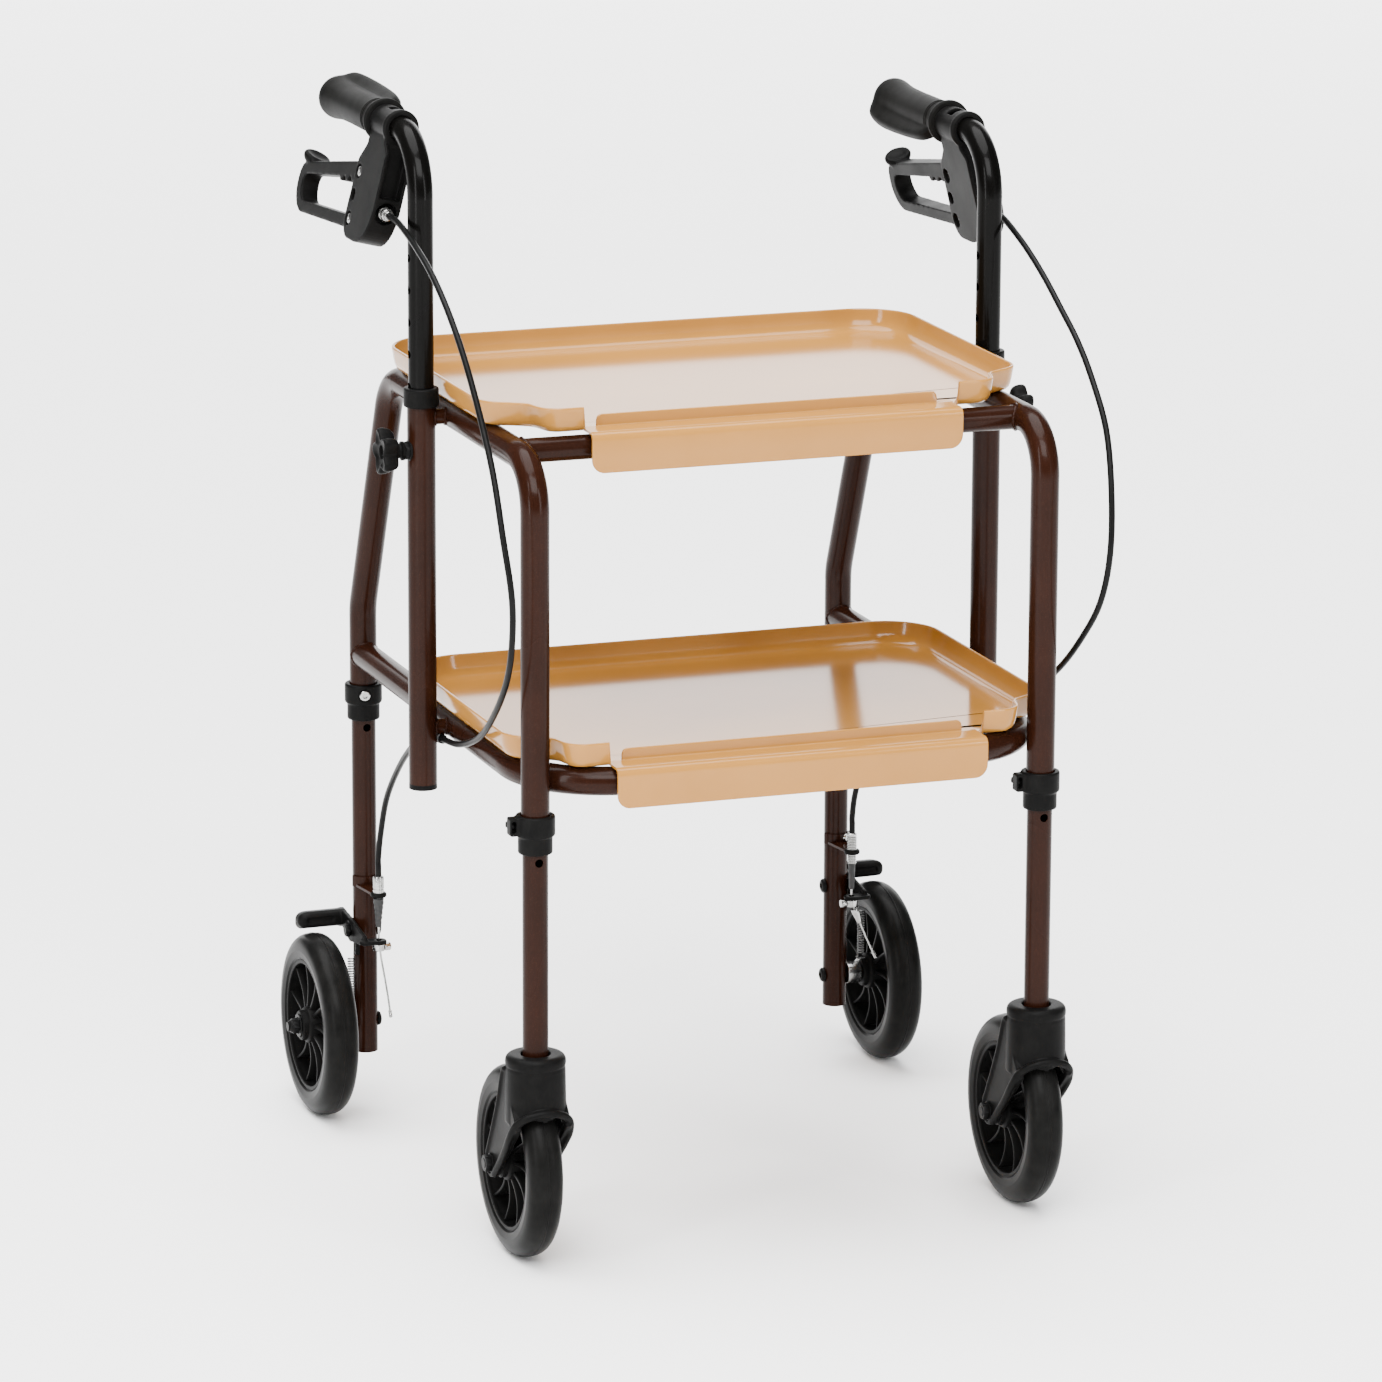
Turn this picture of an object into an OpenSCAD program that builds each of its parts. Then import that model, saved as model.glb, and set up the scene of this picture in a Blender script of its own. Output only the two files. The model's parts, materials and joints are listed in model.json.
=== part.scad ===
// Indoor trolley walker: two lift-off trays on a bent steel tube frame, telescopic handles with
// loop brakes, swivel casters in front and braked wheels behind. Millimetres, +Z up, floor at z = 0,
// front towards -Y, user at +Y, the y origin at the middle of the overall length.
// Every sided piece is drawn for the left (-X) side and mirrored for the right.

/* [Frame] */
// Distance between the left and right leg centres
track = 412; // [404:1:430]
// Distance between the front and rear leg centres
wheelbase = 440; // [436:1:480]
// Place of the legs' mid-point along the length
leg_mid_y = -10; // [-14:1:-8]
// Outer diameter of the frame tubes
tube_d = 22; // [21.6:0.1:22.6]
// Outer diameter of the straight cross rails
rail_d = 19; // [16:0.5:20]
// Wall of every tube
tube_wall = 1; // [0.8:0.05:1.3]
// Height of the top side rails, at their centre
top_rail_z = 630; // [618:1:640]
// Bend radius at the front of a top side rail
front_bend_r = 38; // [32:1:40]
// Bend radius at the rear of a top side rail
rear_bend_r = 45; // [35:1:48]
// How far the rear leg slants back below the top rail
rear_rake = 85; // [70:1:90]
// Height of the knee where the rear leg turns vertical
knee_z = 424; // [422:1:440]
// Bend radius of the knee
knee_r = 40; // [30:1:45]
// Height of the frame tubes' lower ends
frame_foot_z = 344; // [338:1:346]
// Distance from the front legs back to the top front rail
rail_front_set = 48; // [46:1:54]
// Distance from the rear legs forward to the top rear rail
rail_rear_set = 125; // [124:1:150]

/* [Lower shelf] */
// Height of the lower shelf rail, at its centre
low_rail_z = 384; // [380:1:390]
// How far the lower shelf rail's front bar stands in front of the legs
low_front_reach = 13; // [10:1:14]
// Bend radius of the lower shelf rail's front corners
low_corner_r = 75; // [75:1:85]
// Distance from the rear legs forward to the lower rear rail
low_rear_set = 175; // [165:1:200]

/* [Handle posts] */
// Distance from a side frame to its handle post, centre to centre
post_offset = 28.5; // [28.5:0.1:32]
// How far the handle posts stand in front of the legs' mid-point
post_set = 30; // [28:1:50]
// Height of a post's lower end
post_foot_z = 340; // [330:1:350]
// How far a post's upper end stands above the top side rail's centre
post_rise = 18; // [16:1:22]
// Diameter of the stubs that space a post from its side frame
stub_d = 12; // [9:0.5:14]
// Outer diameter of the collar on a post's top
collar_d = 27.4; // [25.5:0.1:27.6]
// Height of the collar
collar_h = 15; // [12:0.5:18]
// Height of the end plug's flange
plug_flange_h = 4; // [2:0.5:6]
// How far the clamp knob's axis is below the top side rail's centre
knob_drop = 25; // [18:1:35]
// Outer diameter of the clamp knob
knob_d = 38; // [34:1:42]
// Thickness of the clamp knob's head
knob_h = 13; // [10:0.5:15]
// Number of lobes on the clamp knob
knob_lobes = 5; // [5:1:7]
// Diameter of the clamp knob's stud
stud_d = 6; // [5:0.5:7]

/* [Handles] */
// Height of the left grip's axis above the top side rail's centre
grip_rise = 217; // [208:1:226]
// How much lower the right handle is set, one adjusting hole
right_drop = 25; // [0:25:25]
// Bend radius of the handle tube
handle_bend_r = 46; // [44:1:48]
// Distance between the adjusting holes
hole_pitch = 25; // [22:1:28]
// Diameter of the adjusting holes
hole_d = 6.5; // [5:0.5:7]
// Number of adjusting holes in a handle tube
hole_count = 9; // [5:1:9]
// Length of the hand grip behind its flange
grip_length = 122; // [118:1:128]
// Diameter of the grip's neck
grip_neck_d = 28; // [27:0.5:30]
// Diameter of the flange at the grip's front end
grip_flange_d = 35; // [34:0.5:37]
// Turn of the left grip's palm wing above the level
grip_roll_left = 38; // [30:1:45]
// Turn of the right grip's palm wing above the level
grip_roll_right = -48; // [-55:1:-40]
// Length of the brake housing's clamp on the tube
clamp_l = 40; // [38:1:44]

/* [Hand brakes] */
// Outward tilt of the brake housing about the grip's axis
brake_tilt = 14; // [8:1:16]
// Thickness of the brake housing
housing_t = 22; // [20:0.5:23]
// Thickness of one cheek of the brake housing
cheek_t = 4.8; // [4:0.1:5]
// Width of the loop lever's strap
lever_w = 14; // [12:0.5:16]
// Diameter of the brake pins
pin_d = 6; // [5:0.5:6.5]
// Diameter of the cable adjuster's barrel
barrel_d = 9; // [8:0.5:10]
// Outer diameter of the brake cable
cable_d = 5; // [4:0.5:5.5]

/* [Legs] */
// Sliding clearance between telescoping tubes, per side
slide_gap = 0.15; // [0.1:0.05:0.25]
// Height of a leg clamp's upper tier
clamp_high_h = 16; // [13:0.5:20]
// Outer diameter of a leg clamp's upper tier
clamp_high_d = 30.5; // [28:0.5:33]
// Height of a leg clamp's lower tier
clamp_low_h = 14; // [12:0.5:18]
// Outer diameter of a leg clamp's lower tier
clamp_low_d = 26.5; // [25:0.5:28]
// Height of the front inner leg's upper end
front_leg_top_z = 450; // [420:1:500]
// Height of the rear inner leg's upper end
rear_leg_top_z = 387; // [380:1:388]
// Height of the rear inner leg's lower end
rear_leg_foot_z = 49; // [46:1:56]

/* [Wheels] */
// Diameter of every wheel
wheel_d = 150; // [146:1:154]
// Width of a tyre
tyre_w = 28; // [24:1:30]
// Diameter of a tyre's bore
tyre_bore_d = 108; // [100:1:112]
// Width of a wheel hub
hub_w = 34; // [32:1:38]
// Diameter of a wheel hub
hub_d = 30; // [26:1:34]
// Number of spokes
spokes = 11; // [8:1:14]
// Thickness of a spoke blade
spoke_t = 2.6; // [2:0.1:3.5]
// Diameter of the wheel axles and brake pivots
axle_d = 8; // [7:0.5:9]
// How far a caster wheel trails behind its leg
trail = 40; // [34:1:44]
// Diameter of a caster fork's head
fork_head_d = 45; // [43:1:48]
// Height of a caster fork's upper end
fork_top_z = 172; // [168:1:178]
// Thickness of a caster fork's arm
fork_arm_t = 5; // [4:0.5:6]

/* [Rear brakes] */
// Distance from a rear leg to its wheel's mid-plane
wheel_offset = 39.7; // [38:0.1:42]
// Height of the rear brake arm's pivot
brake_pivot_z = 152.5; // [151:0.5:158]
// How far the cable's line runs in front of the rear leg's axis
wire_offset = 38; // [34:1:42]
// Height of the cable stop's plate
stop_z = 190; // [188:1:200]
// Gap between the brake shoe and the tyre
shoe_gap = 4; // [4:0.1:4.6]
// Thickness of the brake arm's plate
arm_t = 3; // [2.5:0.5:3]
// Outer diameter of the return spring
spring_d = 6; // [5:0.5:6.5]
// Wire diameter of the return spring
spring_wire_d = 1; // [0.7:0.1:1.2]
// Number of curls in the return spring
spring_curls = 18; // [10:1:20]

/* [Trays] */
// Gap between the upper tray's rim and the collars beside it
tray_side_gap = 1.3; // [1:0.1:6]
// How far the upper tray's front lip stands in front of the top front rail
lip_reach = 18; // [17:1:24]
// How far the upper tray reaches behind the top rear rail
tray_rear_over = 37; // [30:1:40]
// How far the lower tray sits in front of the upper one
tray_shift = 60; // [58:1:64]
// Height of a tray's rim above its underside
rim_h = 20; // [14:0.5:24]
// Wall of a tray
tray_wall = 2.4; // [2:0.1:3.2]
// Radius of a tray's rear corners
tray_corner_r = 45; // [36:1:55]
// Distance from a tray's side to the end of its front lip
lip_side_set = 69.5; // [66:0.5:80]
// Gap between the front lip's end and the rim beside it
lip_gap = 6; // [3:0.5:8]
// How far the front lip hangs below the tray's underside
lip_drop = 29; // [20:1:34]
// Height of the upstand behind the front lip, above the floor
upstand_h = 9; // [6:0.5:12]

/* [Hidden] */
$fn = 48;
frame_brown = "#472a20";
tray_tan = "#deb887";
black_plastic = "#26272a";
rubber_black = "#1b1b1c";
tube_black = "#17181a";
zinc = "#c9cbcc";
grey_boot = "#77797b";
// Fit between pieces fixed to each other, per side
fit = 0.05;
// Running clearance of a pin or axle, per side
run = 0.06;
// Clearance between pieces that move past each other
clear = 0.3;
// Depth by which a cut runs past a face
over = 1;
// Extra wall of a bend, per side, and the length of a straight inside it
bend_swell = 0.05;
bend_lap = 1;
half_track = track / 2;
front_y = leg_mid_y - wheelbase / 2;
rear_y = leg_mid_y + wheelbase / 2;
rear_bend_y = rear_y - rear_rake;
tube_id = tube_d - 2 * tube_wall;
slide_d = tube_id - 2 * slide_gap;
slide_id = slide_d - 2 * tube_wall;
weld_gap = 0.1;
wheel_r = wheel_d / 2;
post_x = half_track + post_offset;
post_y = leg_mid_y - post_set;
post_top_z = top_rail_z + post_rise;
knob_z = top_rail_z - knob_drop;
grip_z = top_rail_z + grip_rise;
top_front_y = front_y + rail_front_set;
top_rear_y = rear_y - rail_rear_set;
low_front_y = front_y - low_front_reach;
low_rear_y = rear_y - low_rear_set;

// Path helpers
function unit(v) = v / norm(v);
function turn(a, b, c) = acos(max(-1, min(1, unit(b - a) * unit(c - b))));
function cut_back(a, b, c, r) = r * tan(turn(a, b, c) / 2);
// Angle brought to within half a turn of zero
function wrap(a) = a - 360 * round(a / 360);
// Arc that rounds the corner b of a plane outline, as points
function corner(a, b, c, r, steps) =
    let (
        u = unit(a - b),
        v = unit(c - b),
        half = acos(u * v) / 2,
        centre = b + unit(u + v) * (r / sin(half)),
        s = b + u * (r / tan(half)) - centre,
        e = b + v * (r / tan(half)) - centre,
        from = atan2(s[1], s[0]),
        sweep = wrap(atan2(e[1], e[0]) - from)
    )
    [for (k = [0:steps]) centre + r * [cos(from + sweep * k / steps), sin(from + sweep * k / steps)]];
// Closed outline with each corner [x, y, radius] rounded
function rounded(p, steps = 5) =
    let (n = len(p))
    [
        for (i = [0:n - 1])
            let (
                b = [p[i][0], p[i][1]],
                a = [p[(i + n - 1) % n][0], p[(i + n - 1) % n][1]],
                c = [p[(i + 1) % n][0], p[(i + 1) % n][1]]
            )
            each (p[i][2] > 0 ? corner(a, b, c, p[i][2], steps) : [b])
    ];
// Outline moved inwards by d, for points in counter-clockwise order
function inset(p, d) =
    let (n = len(p))
    [
        for (i = [0:n - 1])
            let (
                u = unit(p[i] - p[(i + n - 1) % n]),
                v = unit(p[(i + 1) % n] - p[i]),
                m = unit([-u[1] - v[1], u[0] + v[0]])
            )
            p[i] + m * d / (m * [-u[1], u[0]])
    ];
// Outline of two circles and their common tangents
function strap(p, rp, q, rq, steps = 10) =
    let (
        d = q - p,
        dir = atan2(d[1], d[0]),
        lean = acos((rp - rq) / norm(d))
    )
    concat(
        [
            for (k = [0:steps])
                let (a = dir - lean + 2 * lean * k / steps)
                q + rq * [cos(a), sin(a)]
        ],
        [
            for (k = [0:steps])
                let (a = dir + lean + (360 - 2 * lean) * k / steps)
                p + rp * [cos(a), sin(a)]
        ]
    );

// Placing helpers
module left() { children(); }
module right() { mirror([1, 0, 0]) children(); }
module left_handle() { children(); }
module right_handle() { mirror([1, 0, 0]) translate([0, 0, -right_drop]) children(); }
module along_x(x0, x1) { translate([x0, 0, 0]) rotate([0, 90, 0]) children(); }
// Straight bar from a to b along any direction
module bar(a, b, d) {
    w = unit(b - a);
    u = unit(abs(w[2]) < 0.9 ? cross([0, 0, 1], w) : cross([1, 0, 0], w));
    v = cross(w, u);
    multmatrix([
        [u[0], v[0], w[0], a[0]],
        [u[1], v[1], w[1], a[1]],
        [u[2], v[2], w[2], a[2]],
        [0, 0, 0, 1]
    ])
        cylinder(d = d, h = norm(b - a));
}
// Bend of radius r at the corner b of a path, its wall a hair thicker than that of the straights
module bend(a, b, c, r, d) {
    w = unit(b - a);
    o = unit(c - b);
    n = unit(o - (o * w) * w);
    centre = b - cut_back(a, b, c, r) * w + r * n;
    axis = cross(-n, w);
    multmatrix([
        [-n[0], w[0], axis[0], centre[0]],
        [-n[1], w[1], axis[1], centre[1]],
        [-n[2], w[2], axis[2], centre[2]],
        [0, 0, 0, 1]
    ])
        rotate_extrude(angle = turn(a, b, c)) translate([r, 0]) difference() {
            circle(d = d + 2 * bend_swell);
            circle(d = d - 2 * tube_wall - 2 * bend_swell);
        }
}
// Tube bent along a path, with one radius for each inner corner
// Its straights run a little way into the bends
module bent_tube(p, radii, d) {
    last = len(p) - 1;
    function trim(i) =
        i == 0 || i == last ? 0 : cut_back(p[i - 1], p[i], p[i + 1], radii[i - 1]) - bend_lap;
    for (i = [0:last - 1]) {
        w = unit(p[i + 1] - p[i]);
        a = p[i] + trim(i) * w;
        b = p[i + 1] - trim(i + 1) * w;
        difference() {
            bar(a, b, d);
            bar(a - over * w, b + over * w, d - 2 * tube_wall);
        }
    }
    for (i = [1:last - 1]) bend(p[i - 1], p[i], p[i + 1], radii[i - 1], d);
}
// Upright tube between two heights
module upright(z0, z1, d, id) {
    difference() {
        translate([0, 0, z0]) cylinder(d = d, h = z1 - z0);
        translate([0, 0, z0 - over]) cylinder(d = id, h = z1 - z0 + 2 * over);
    }
}
// Skin over rings of equal point count, closed by flat ends
module loft(rings) {
    n = len(rings[0]);
    last = len(rings) - 1;
    polyhedron(
        points = [for (ring = rings) each ring],
        faces = concat(
            [[for (j = [0:n - 1]) j]],
            [
                for (i = [0:last - 1], j = [0:n - 1])
                    let (a = i * n + j, b = i * n + (j + 1) % n)
                    each [[a, a + n, b + n], [a, b + n, b]]
            ],
            [[for (j = [n - 1:-1:0]) last * n + j]]
        )
    );
}
// Rings of a round tube of diameter d swept along points
function tube_rings(p, d, sides) =
    let (last = len(p) - 1)
    [
        for (i = [0:last])
            let (
                w = unit(p[min(i + 1, last)] - p[max(i - 1, 0)]),
                u = unit(cross(w, abs(w[0]) < 0.9 ? [1, 0, 0] : [0, 0, 1])),
                v = cross(w, u)
            )
            [
                for (k = [0:sides - 1])
                    let (a = 360 * k / sides)
                    p[i] + d / 2 * (cos(a) * u + sin(a) * v)
            ]
    ];
// Smooth curve through points, with extra points between them
function smooth(p, steps) =
    let (last = len(p) - 1)
    concat(
        [
            for (i = [0:last - 1], k = [0:steps - 1])
                let (
                    a = p[max(i - 1, 0)],
                    b = p[i],
                    c = p[i + 1],
                    d = p[min(i + 2, last)],
                    t = k / steps
                )
                0.5 * (2 * b + (c - a) * t + (2 * a - 5 * b + 4 * c - d) * t * t
                    + (3 * b - a - 3 * c + d) * t * t * t)
        ],
        [p[last]]
    );

// Frame
side_path = [
    [-half_track, front_y, frame_foot_z],
    [-half_track, front_y, top_rail_z],
    [-half_track, rear_bend_y, top_rail_z],
    [-half_track, rear_y, knee_z],
    [-half_track, rear_y, frame_foot_z]
];
module side_frame() {
    color(frame_brown) bent_tube(side_path, [front_bend_r, rear_bend_r, knee_r], tube_d);
}
// Straight tube across the walker, its ends cut to sit on the side tubes
module cross_rail(y, z) {
    difference() {
        translate([0, y, z]) along_x(-half_track, half_track) cylinder(d = rail_d, h = track);
        translate([0, y, z]) along_x(-half_track - over, half_track)
            cylinder(d = rail_d - 2 * tube_wall, h = track + 2 * over);
        for (s = [-1, 1])
            translate([s * half_track, y - tube_d, z]) rotate([-90, 0, 0])
                cylinder(d = tube_d + 2 * weld_gap, h = 2 * tube_d);
    }
}
module top_front_rail() { color(frame_brown) cross_rail(top_front_y, top_rail_z); }
module top_rear_rail() { color(frame_brown) cross_rail(top_rear_y, top_rail_z); }
module lower_rear_rail() { color(frame_brown) cross_rail(low_rear_y, low_rail_z); }
low_path = [
    [-half_track, rear_y, low_rail_z],
    [-half_track, low_front_y, low_rail_z],
    [half_track, low_front_y, low_rail_z],
    [half_track, rear_y, low_rail_z]
];
module lower_shelf_rail() {
    color(frame_brown) difference() {
        bent_tube(low_path, [low_corner_r, low_corner_r], tube_d);
        for (s = [-1, 1], y = [front_y, rear_y])
            translate([s * half_track, y, low_rail_z - tube_d])
                cylinder(d = tube_d + 2 * weld_gap, h = 2 * tube_d);
    }
}

// Handle posts
boss_d = stud_d + 7;
boss_h = 3;
module handle_post() {
    color(frame_brown) difference() {
        union() {
            translate([-post_x, post_y, post_foot_z])
                cylinder(d = tube_d, h = post_top_z - post_foot_z);
            for (z = [top_rail_z, low_rail_z])
                translate([0, post_y, z]) along_x(-post_x, -half_track)
                    cylinder(d = stub_d, h = post_offset);
            translate([0, post_y, knob_z]) along_x(-post_x - tube_d / 2 - boss_h, -post_x)
                cylinder(d = boss_d, h = tube_d / 2 + boss_h);
        }
        translate([-post_x, post_y, post_foot_z - over])
            cylinder(d = tube_id, h = post_top_z - post_foot_z + 2 * over);
        translate([0, post_y, knob_z]) along_x(-post_x - tube_d, -post_x)
            cylinder(d = stud_d + 2 * run, h = tube_d);
        for (z = [top_rail_z, low_rail_z])
            translate([-half_track, post_y - tube_d, z]) rotate([-90, 0, 0])
                cylinder(d = tube_d + 2 * weld_gap, h = 2 * tube_d);
    }
}
collar_lip = 6;
collar_round = 1.5;
module post_collar() {
    seat = collar_h - collar_lip;
    translate([-post_x, post_y, post_top_z - seat]) rotate_extrude() difference() {
        polygon(rounded([
            [slide_d / 2 + slide_gap, 0, 0],
            [collar_d / 2, 0, collar_round],
            [collar_d / 2, collar_h, collar_round],
            [slide_d / 2 + slide_gap, collar_h, 0]
        ]));
        translate([0, -over]) square([tube_d / 2 + fit, seat + over + fit]);
    }
}
module post_collars() {
    color(black_plastic) {
        left() post_collar();
        right() post_collar();
    }
}
plug_depth = 10;
module post_end_plug() {
    translate([-post_x, post_y, post_foot_z - plug_flange_h]) {
        cylinder(d = tube_d, h = plug_flange_h - fit);
        cylinder(d = tube_id - 2 * fit, h = plug_flange_h + plug_depth);
    }
}
module post_end_plugs() {
    color(black_plastic) {
        left() post_end_plug();
        right() post_end_plug();
    }
}
// Clamp knob: lobed head, stepped neck and a stud that stops at the handle tube
knob_gap = 0.3;
neck_l = 7;
lobe_d = 11;
module star_knob() {
    seat = post_x + tube_d / 2 + boss_h + knob_gap;
    color(black_plastic) translate([0, post_y, knob_z]) {
        along_x(-seat - neck_l - knob_h, -seat - neck_l) difference() {
            union() {
                cylinder(d = knob_d - lobe_d, h = knob_h);
                for (k = [0:knob_lobes - 1])
                    rotate(90 + 360 * k / knob_lobes) linear_extrude(knob_h)
                        polygon(strap([0, 0], lobe_d * 0.8, [(knob_d - lobe_d) / 2, 0], lobe_d / 2));
            }
            translate([0, 0, -over]) cylinder(d = lobe_d, h = over + knob_h / 4);
        }
        along_x(-seat - neck_l, -seat) cylinder(d = boss_d - 1, h = neck_l / 2);
        along_x(-seat - neck_l / 2, -seat) cylinder(d = boss_d + 2, h = neck_l / 2);
        along_x(-seat - neck_l, 0)
            cylinder(d = stud_d, h = seat + neck_l - post_x - slide_d / 2 - clear);
    }
}

// Leg clamps
lug_l = 8;
lug_w = 13;
lug_gap = 1.6;
clamp_screw_d = 4;
clamp_slit = lug_gap;
module leg_clamp(y) {
    top = frame_foot_z + clamp_high_h;
    out = clamp_high_d / 2 + lug_l;
    translate([-half_track, y, 0]) difference() {
        union() {
            translate([0, 0, frame_foot_z]) cylinder(d = clamp_high_d, h = clamp_high_h);
            translate([0, 0, frame_foot_z - clamp_low_h]) cylinder(d = clamp_low_d, h = clamp_low_h);
            translate([-out, -lug_w / 2, frame_foot_z + 1]) cube([out, lug_w, clamp_high_h - 2]);
        }
        translate([0, 0, frame_foot_z]) cylinder(d = tube_d + 2 * fit, h = clamp_high_h + over);
        translate([0, 0, frame_foot_z - clamp_low_h - over])
            cylinder(d = tube_id, h = clamp_low_h + 2 * over);
        translate([-out - over, -clamp_slit / 2, frame_foot_z - clamp_low_h - over])
            cube([out + over, clamp_slit, clamp_high_h + clamp_low_h + 2 * over]);
        translate([-out + lug_l / 2, -lug_w, (top + frame_foot_z) / 2]) rotate([-90, 0, 0])
            cylinder(d = clamp_screw_d + 2 * fit, h = 2 * lug_w);
    }
}
module leg_clamps() {
    color(black_plastic) for (y = [front_y, rear_y]) {
        left() leg_clamp(y);
        right() leg_clamp(y);
    }
}
screw_head_d = 9;
screw_head_h = 3;
socket_h = 2;
module clamp_screw(y) {
    lug_x = -half_track - clamp_high_d / 2 - lug_l / 2;
    translate([lug_x, y, frame_foot_z + clamp_high_h / 2]) rotate([-90, 0, 0]) {
        difference() {
            translate([0, 0, -lug_w / 2 - fit - screw_head_h])
                cylinder(d = screw_head_d, h = screw_head_h);
            translate([0, 0, -lug_w / 2 - fit - screw_head_h - over])
                cylinder(d = clamp_screw_d, h = over + socket_h, $fn = 6);
        }
        translate([0, 0, -lug_w / 2 - fit - over])
            cylinder(d = clamp_screw_d, h = lug_w + over + 2 * fit + screw_head_h);
        translate([0, 0, lug_w / 2 + fit]) cylinder(d = screw_head_d, h = screw_head_h, $fn = 6);
    }
}
module clamp_screws() {
    color(zinc) for (y = [front_y, rear_y]) {
        left() clamp_screw(y);
        right() clamp_screw(y);
    }
}

// Trays
tray_low_z = top_rail_z + tube_d / 2 + clear;
lower_tray_z = low_rail_z + tube_d / 2 + clear;
rim_front_set = 14;
foot_fillet = 9;
tray_half_w = post_x - collar_d / 2 - tray_side_gap;
tray_front_y = top_front_y - lip_reach;
tray_rear_y = top_rear_y + tray_rear_over;
rim_front_y = tray_front_y + rim_front_set;
lip_half = tray_half_w - lip_side_set;
rim_gap_half = lip_half + lip_gap;
// Wavy front corners that clear the front legs, each [set-in from the side, set-back, radius]
wave_in = [37.5, 0, 18];
wave_mid = [30.5, 28, 12];
wave_out = [0, 46, 24];
function wave(side, w) = [side * (tray_half_w - w[0]), rim_front_y + w[1], w[2]];
tray_outline = rounded([
    [0, tray_rear_y, 0],
    [-tray_half_w, tray_rear_y, tray_corner_r],
    wave(-1, wave_out),
    wave(-1, wave_mid),
    wave(-1, wave_in),
    wave(1, wave_in),
    wave(1, wave_mid),
    wave(1, wave_out),
    [tray_half_w, tray_rear_y, tray_corner_r]
], 6);
// Wall section as [inset, height] from the underside over the rim to the floor
tray_section = [
    [foot_fillet, 0],
    [foot_fillet * 0.45, foot_fillet * 0.2],
    [foot_fillet * 0.18, foot_fillet * 0.65],
    [0, rim_h],
    [tray_wall, rim_h],
    [tray_wall + foot_fillet * 0.18, tray_wall + foot_fillet * 0.65],
    [tray_wall + foot_fillet * 0.45, tray_wall + foot_fillet * 0.2],
    [tray_wall + foot_fillet, tray_wall]
];
lip_round = 6;
lip_corner_r = 10;
upstand_set = 12;
upstand_r = 4;
module tray(z, shift) {
    floor_front = rim_front_y + tray_wall + foot_fillet;
    upstand_y = floor_front + tray_wall;
    color(tray_tan) translate([0, -shift, z]) {
        difference() {
            loft([for (s = tray_section) [for (p = inset(tray_outline, s[0])) [p[0], p[1], s[1]]]]);
            translate([-rim_gap_half, tray_front_y - over, tray_wall])
                cube([2 * rim_gap_half, floor_front - tray_front_y + 2 * over, rim_h]);
        }
        // Folded front lip with round lower corners
        intersection() {
            across(2 * lip_half) polygon(rounded([
                [floor_front + over, tray_wall, 0],
                [tray_front_y, tray_wall, lip_round],
                [tray_front_y, -lip_drop, 0],
                [tray_front_y + tray_wall, -lip_drop, 0],
                [tray_front_y + tray_wall, 0, lip_round - tray_wall],
                [floor_front + over, 0, 0]
            ]));
            translate([0, floor_front + 2 * over, 0]) rotate([90, 0, 0])
                linear_extrude(floor_front - tray_front_y + 4 * over) polygon(rounded([
                    [-lip_half, -lip_drop, lip_corner_r],
                    [lip_half, -lip_drop, lip_corner_r],
                    [lip_half, rim_h, 0],
                    [-lip_half, rim_h, 0]
                ]));
        }
        // Upstand along the front of the floor
        translate([0, upstand_y, 0]) rotate([90, 0, 0]) linear_extrude(tray_wall) polygon(rounded([
            [-lip_half + upstand_set, tray_wall / 2, 0],
            [lip_half - upstand_set, tray_wall / 2, 0],
            [lip_half - upstand_set, tray_wall + upstand_h, upstand_r],
            [-lip_half + upstand_set, tray_wall + upstand_h, upstand_r]
        ]));
    }
}
module upper_tray() { tray(tray_low_z, 0); }
module lower_tray() { tray(lower_tray_z, tray_shift); }

// Handles
handle_in = 150;
handle_foot_z = top_rail_z - handle_in;
clamp_d = 27;
ring_l = 5;
ring_d = clamp_d + 2;
clamp_y = post_y + handle_bend_r;
flange_y = clamp_y + clamp_l + clear;
flange_l = 5;
grip_end_y = flange_y + flange_l + grip_length;
grip_end_wall = 14;
tube_end_y = grip_end_y - grip_end_wall;
holes_below = 2;
module handle_tube() {
    path = [[-post_x, post_y, handle_foot_z], [-post_x, post_y, grip_z], [-post_x, tube_end_y, grip_z]];
    color(tube_black) difference() {
        bent_tube(path, [handle_bend_r], slide_d);
        for (k = [0:hole_count - 1])
            translate([0, post_y, knob_z + (k - holes_below) * hole_pitch])
                along_x(-post_x - tube_d, -post_x) cylinder(d = hole_d, h = 2 * tube_d);
    }
}
// Grip stations as [share of length, inner reach, outer reach, up, down, thinning of the inner wing]
grip_stations = [
    [0.00, 1.00, 1.00, 1.00, 1.00, 0.00],
    [0.06, 1.00, 1.00, 1.00, 1.00, 0.00],
    [0.10, 1.30, 1.00, 1.00, 1.00, 0.30],
    [0.16, 1.75, 1.00, 1.00, 1.00, 0.45],
    [0.30, 1.95, 1.02, 1.00, 1.02, 0.50],
    [0.55, 2.05, 1.06, 1.02, 1.06, 0.48],
    [0.78, 2.10, 1.20, 1.12, 1.22, 0.35],
    [0.90, 1.95, 1.24, 1.16, 1.28, 0.20],
    [0.97, 1.50, 1.05, 0.98, 1.08, 0.05],
    [1.00, 0.95, 0.70, 0.66, 0.72, 0.00]
];
grip_sides = 24;
function grip_ring(s) =
    let (r = grip_neck_d / 2, y = flange_y + flange_l - over + (grip_length + over) * s[0])
    [
        for (k = [0:grip_sides - 1])
            let (
                a = 360 * k / grip_sides,
                x = cos(a) * r * (cos(a) > 0 ? s[1] : s[2]),
                z = -sin(a) * r * (sin(a) > 0 ? s[4] : s[3]) * (1 - s[5] * max(0, cos(a)))
            )
            [x, y, z]
    ];
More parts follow.
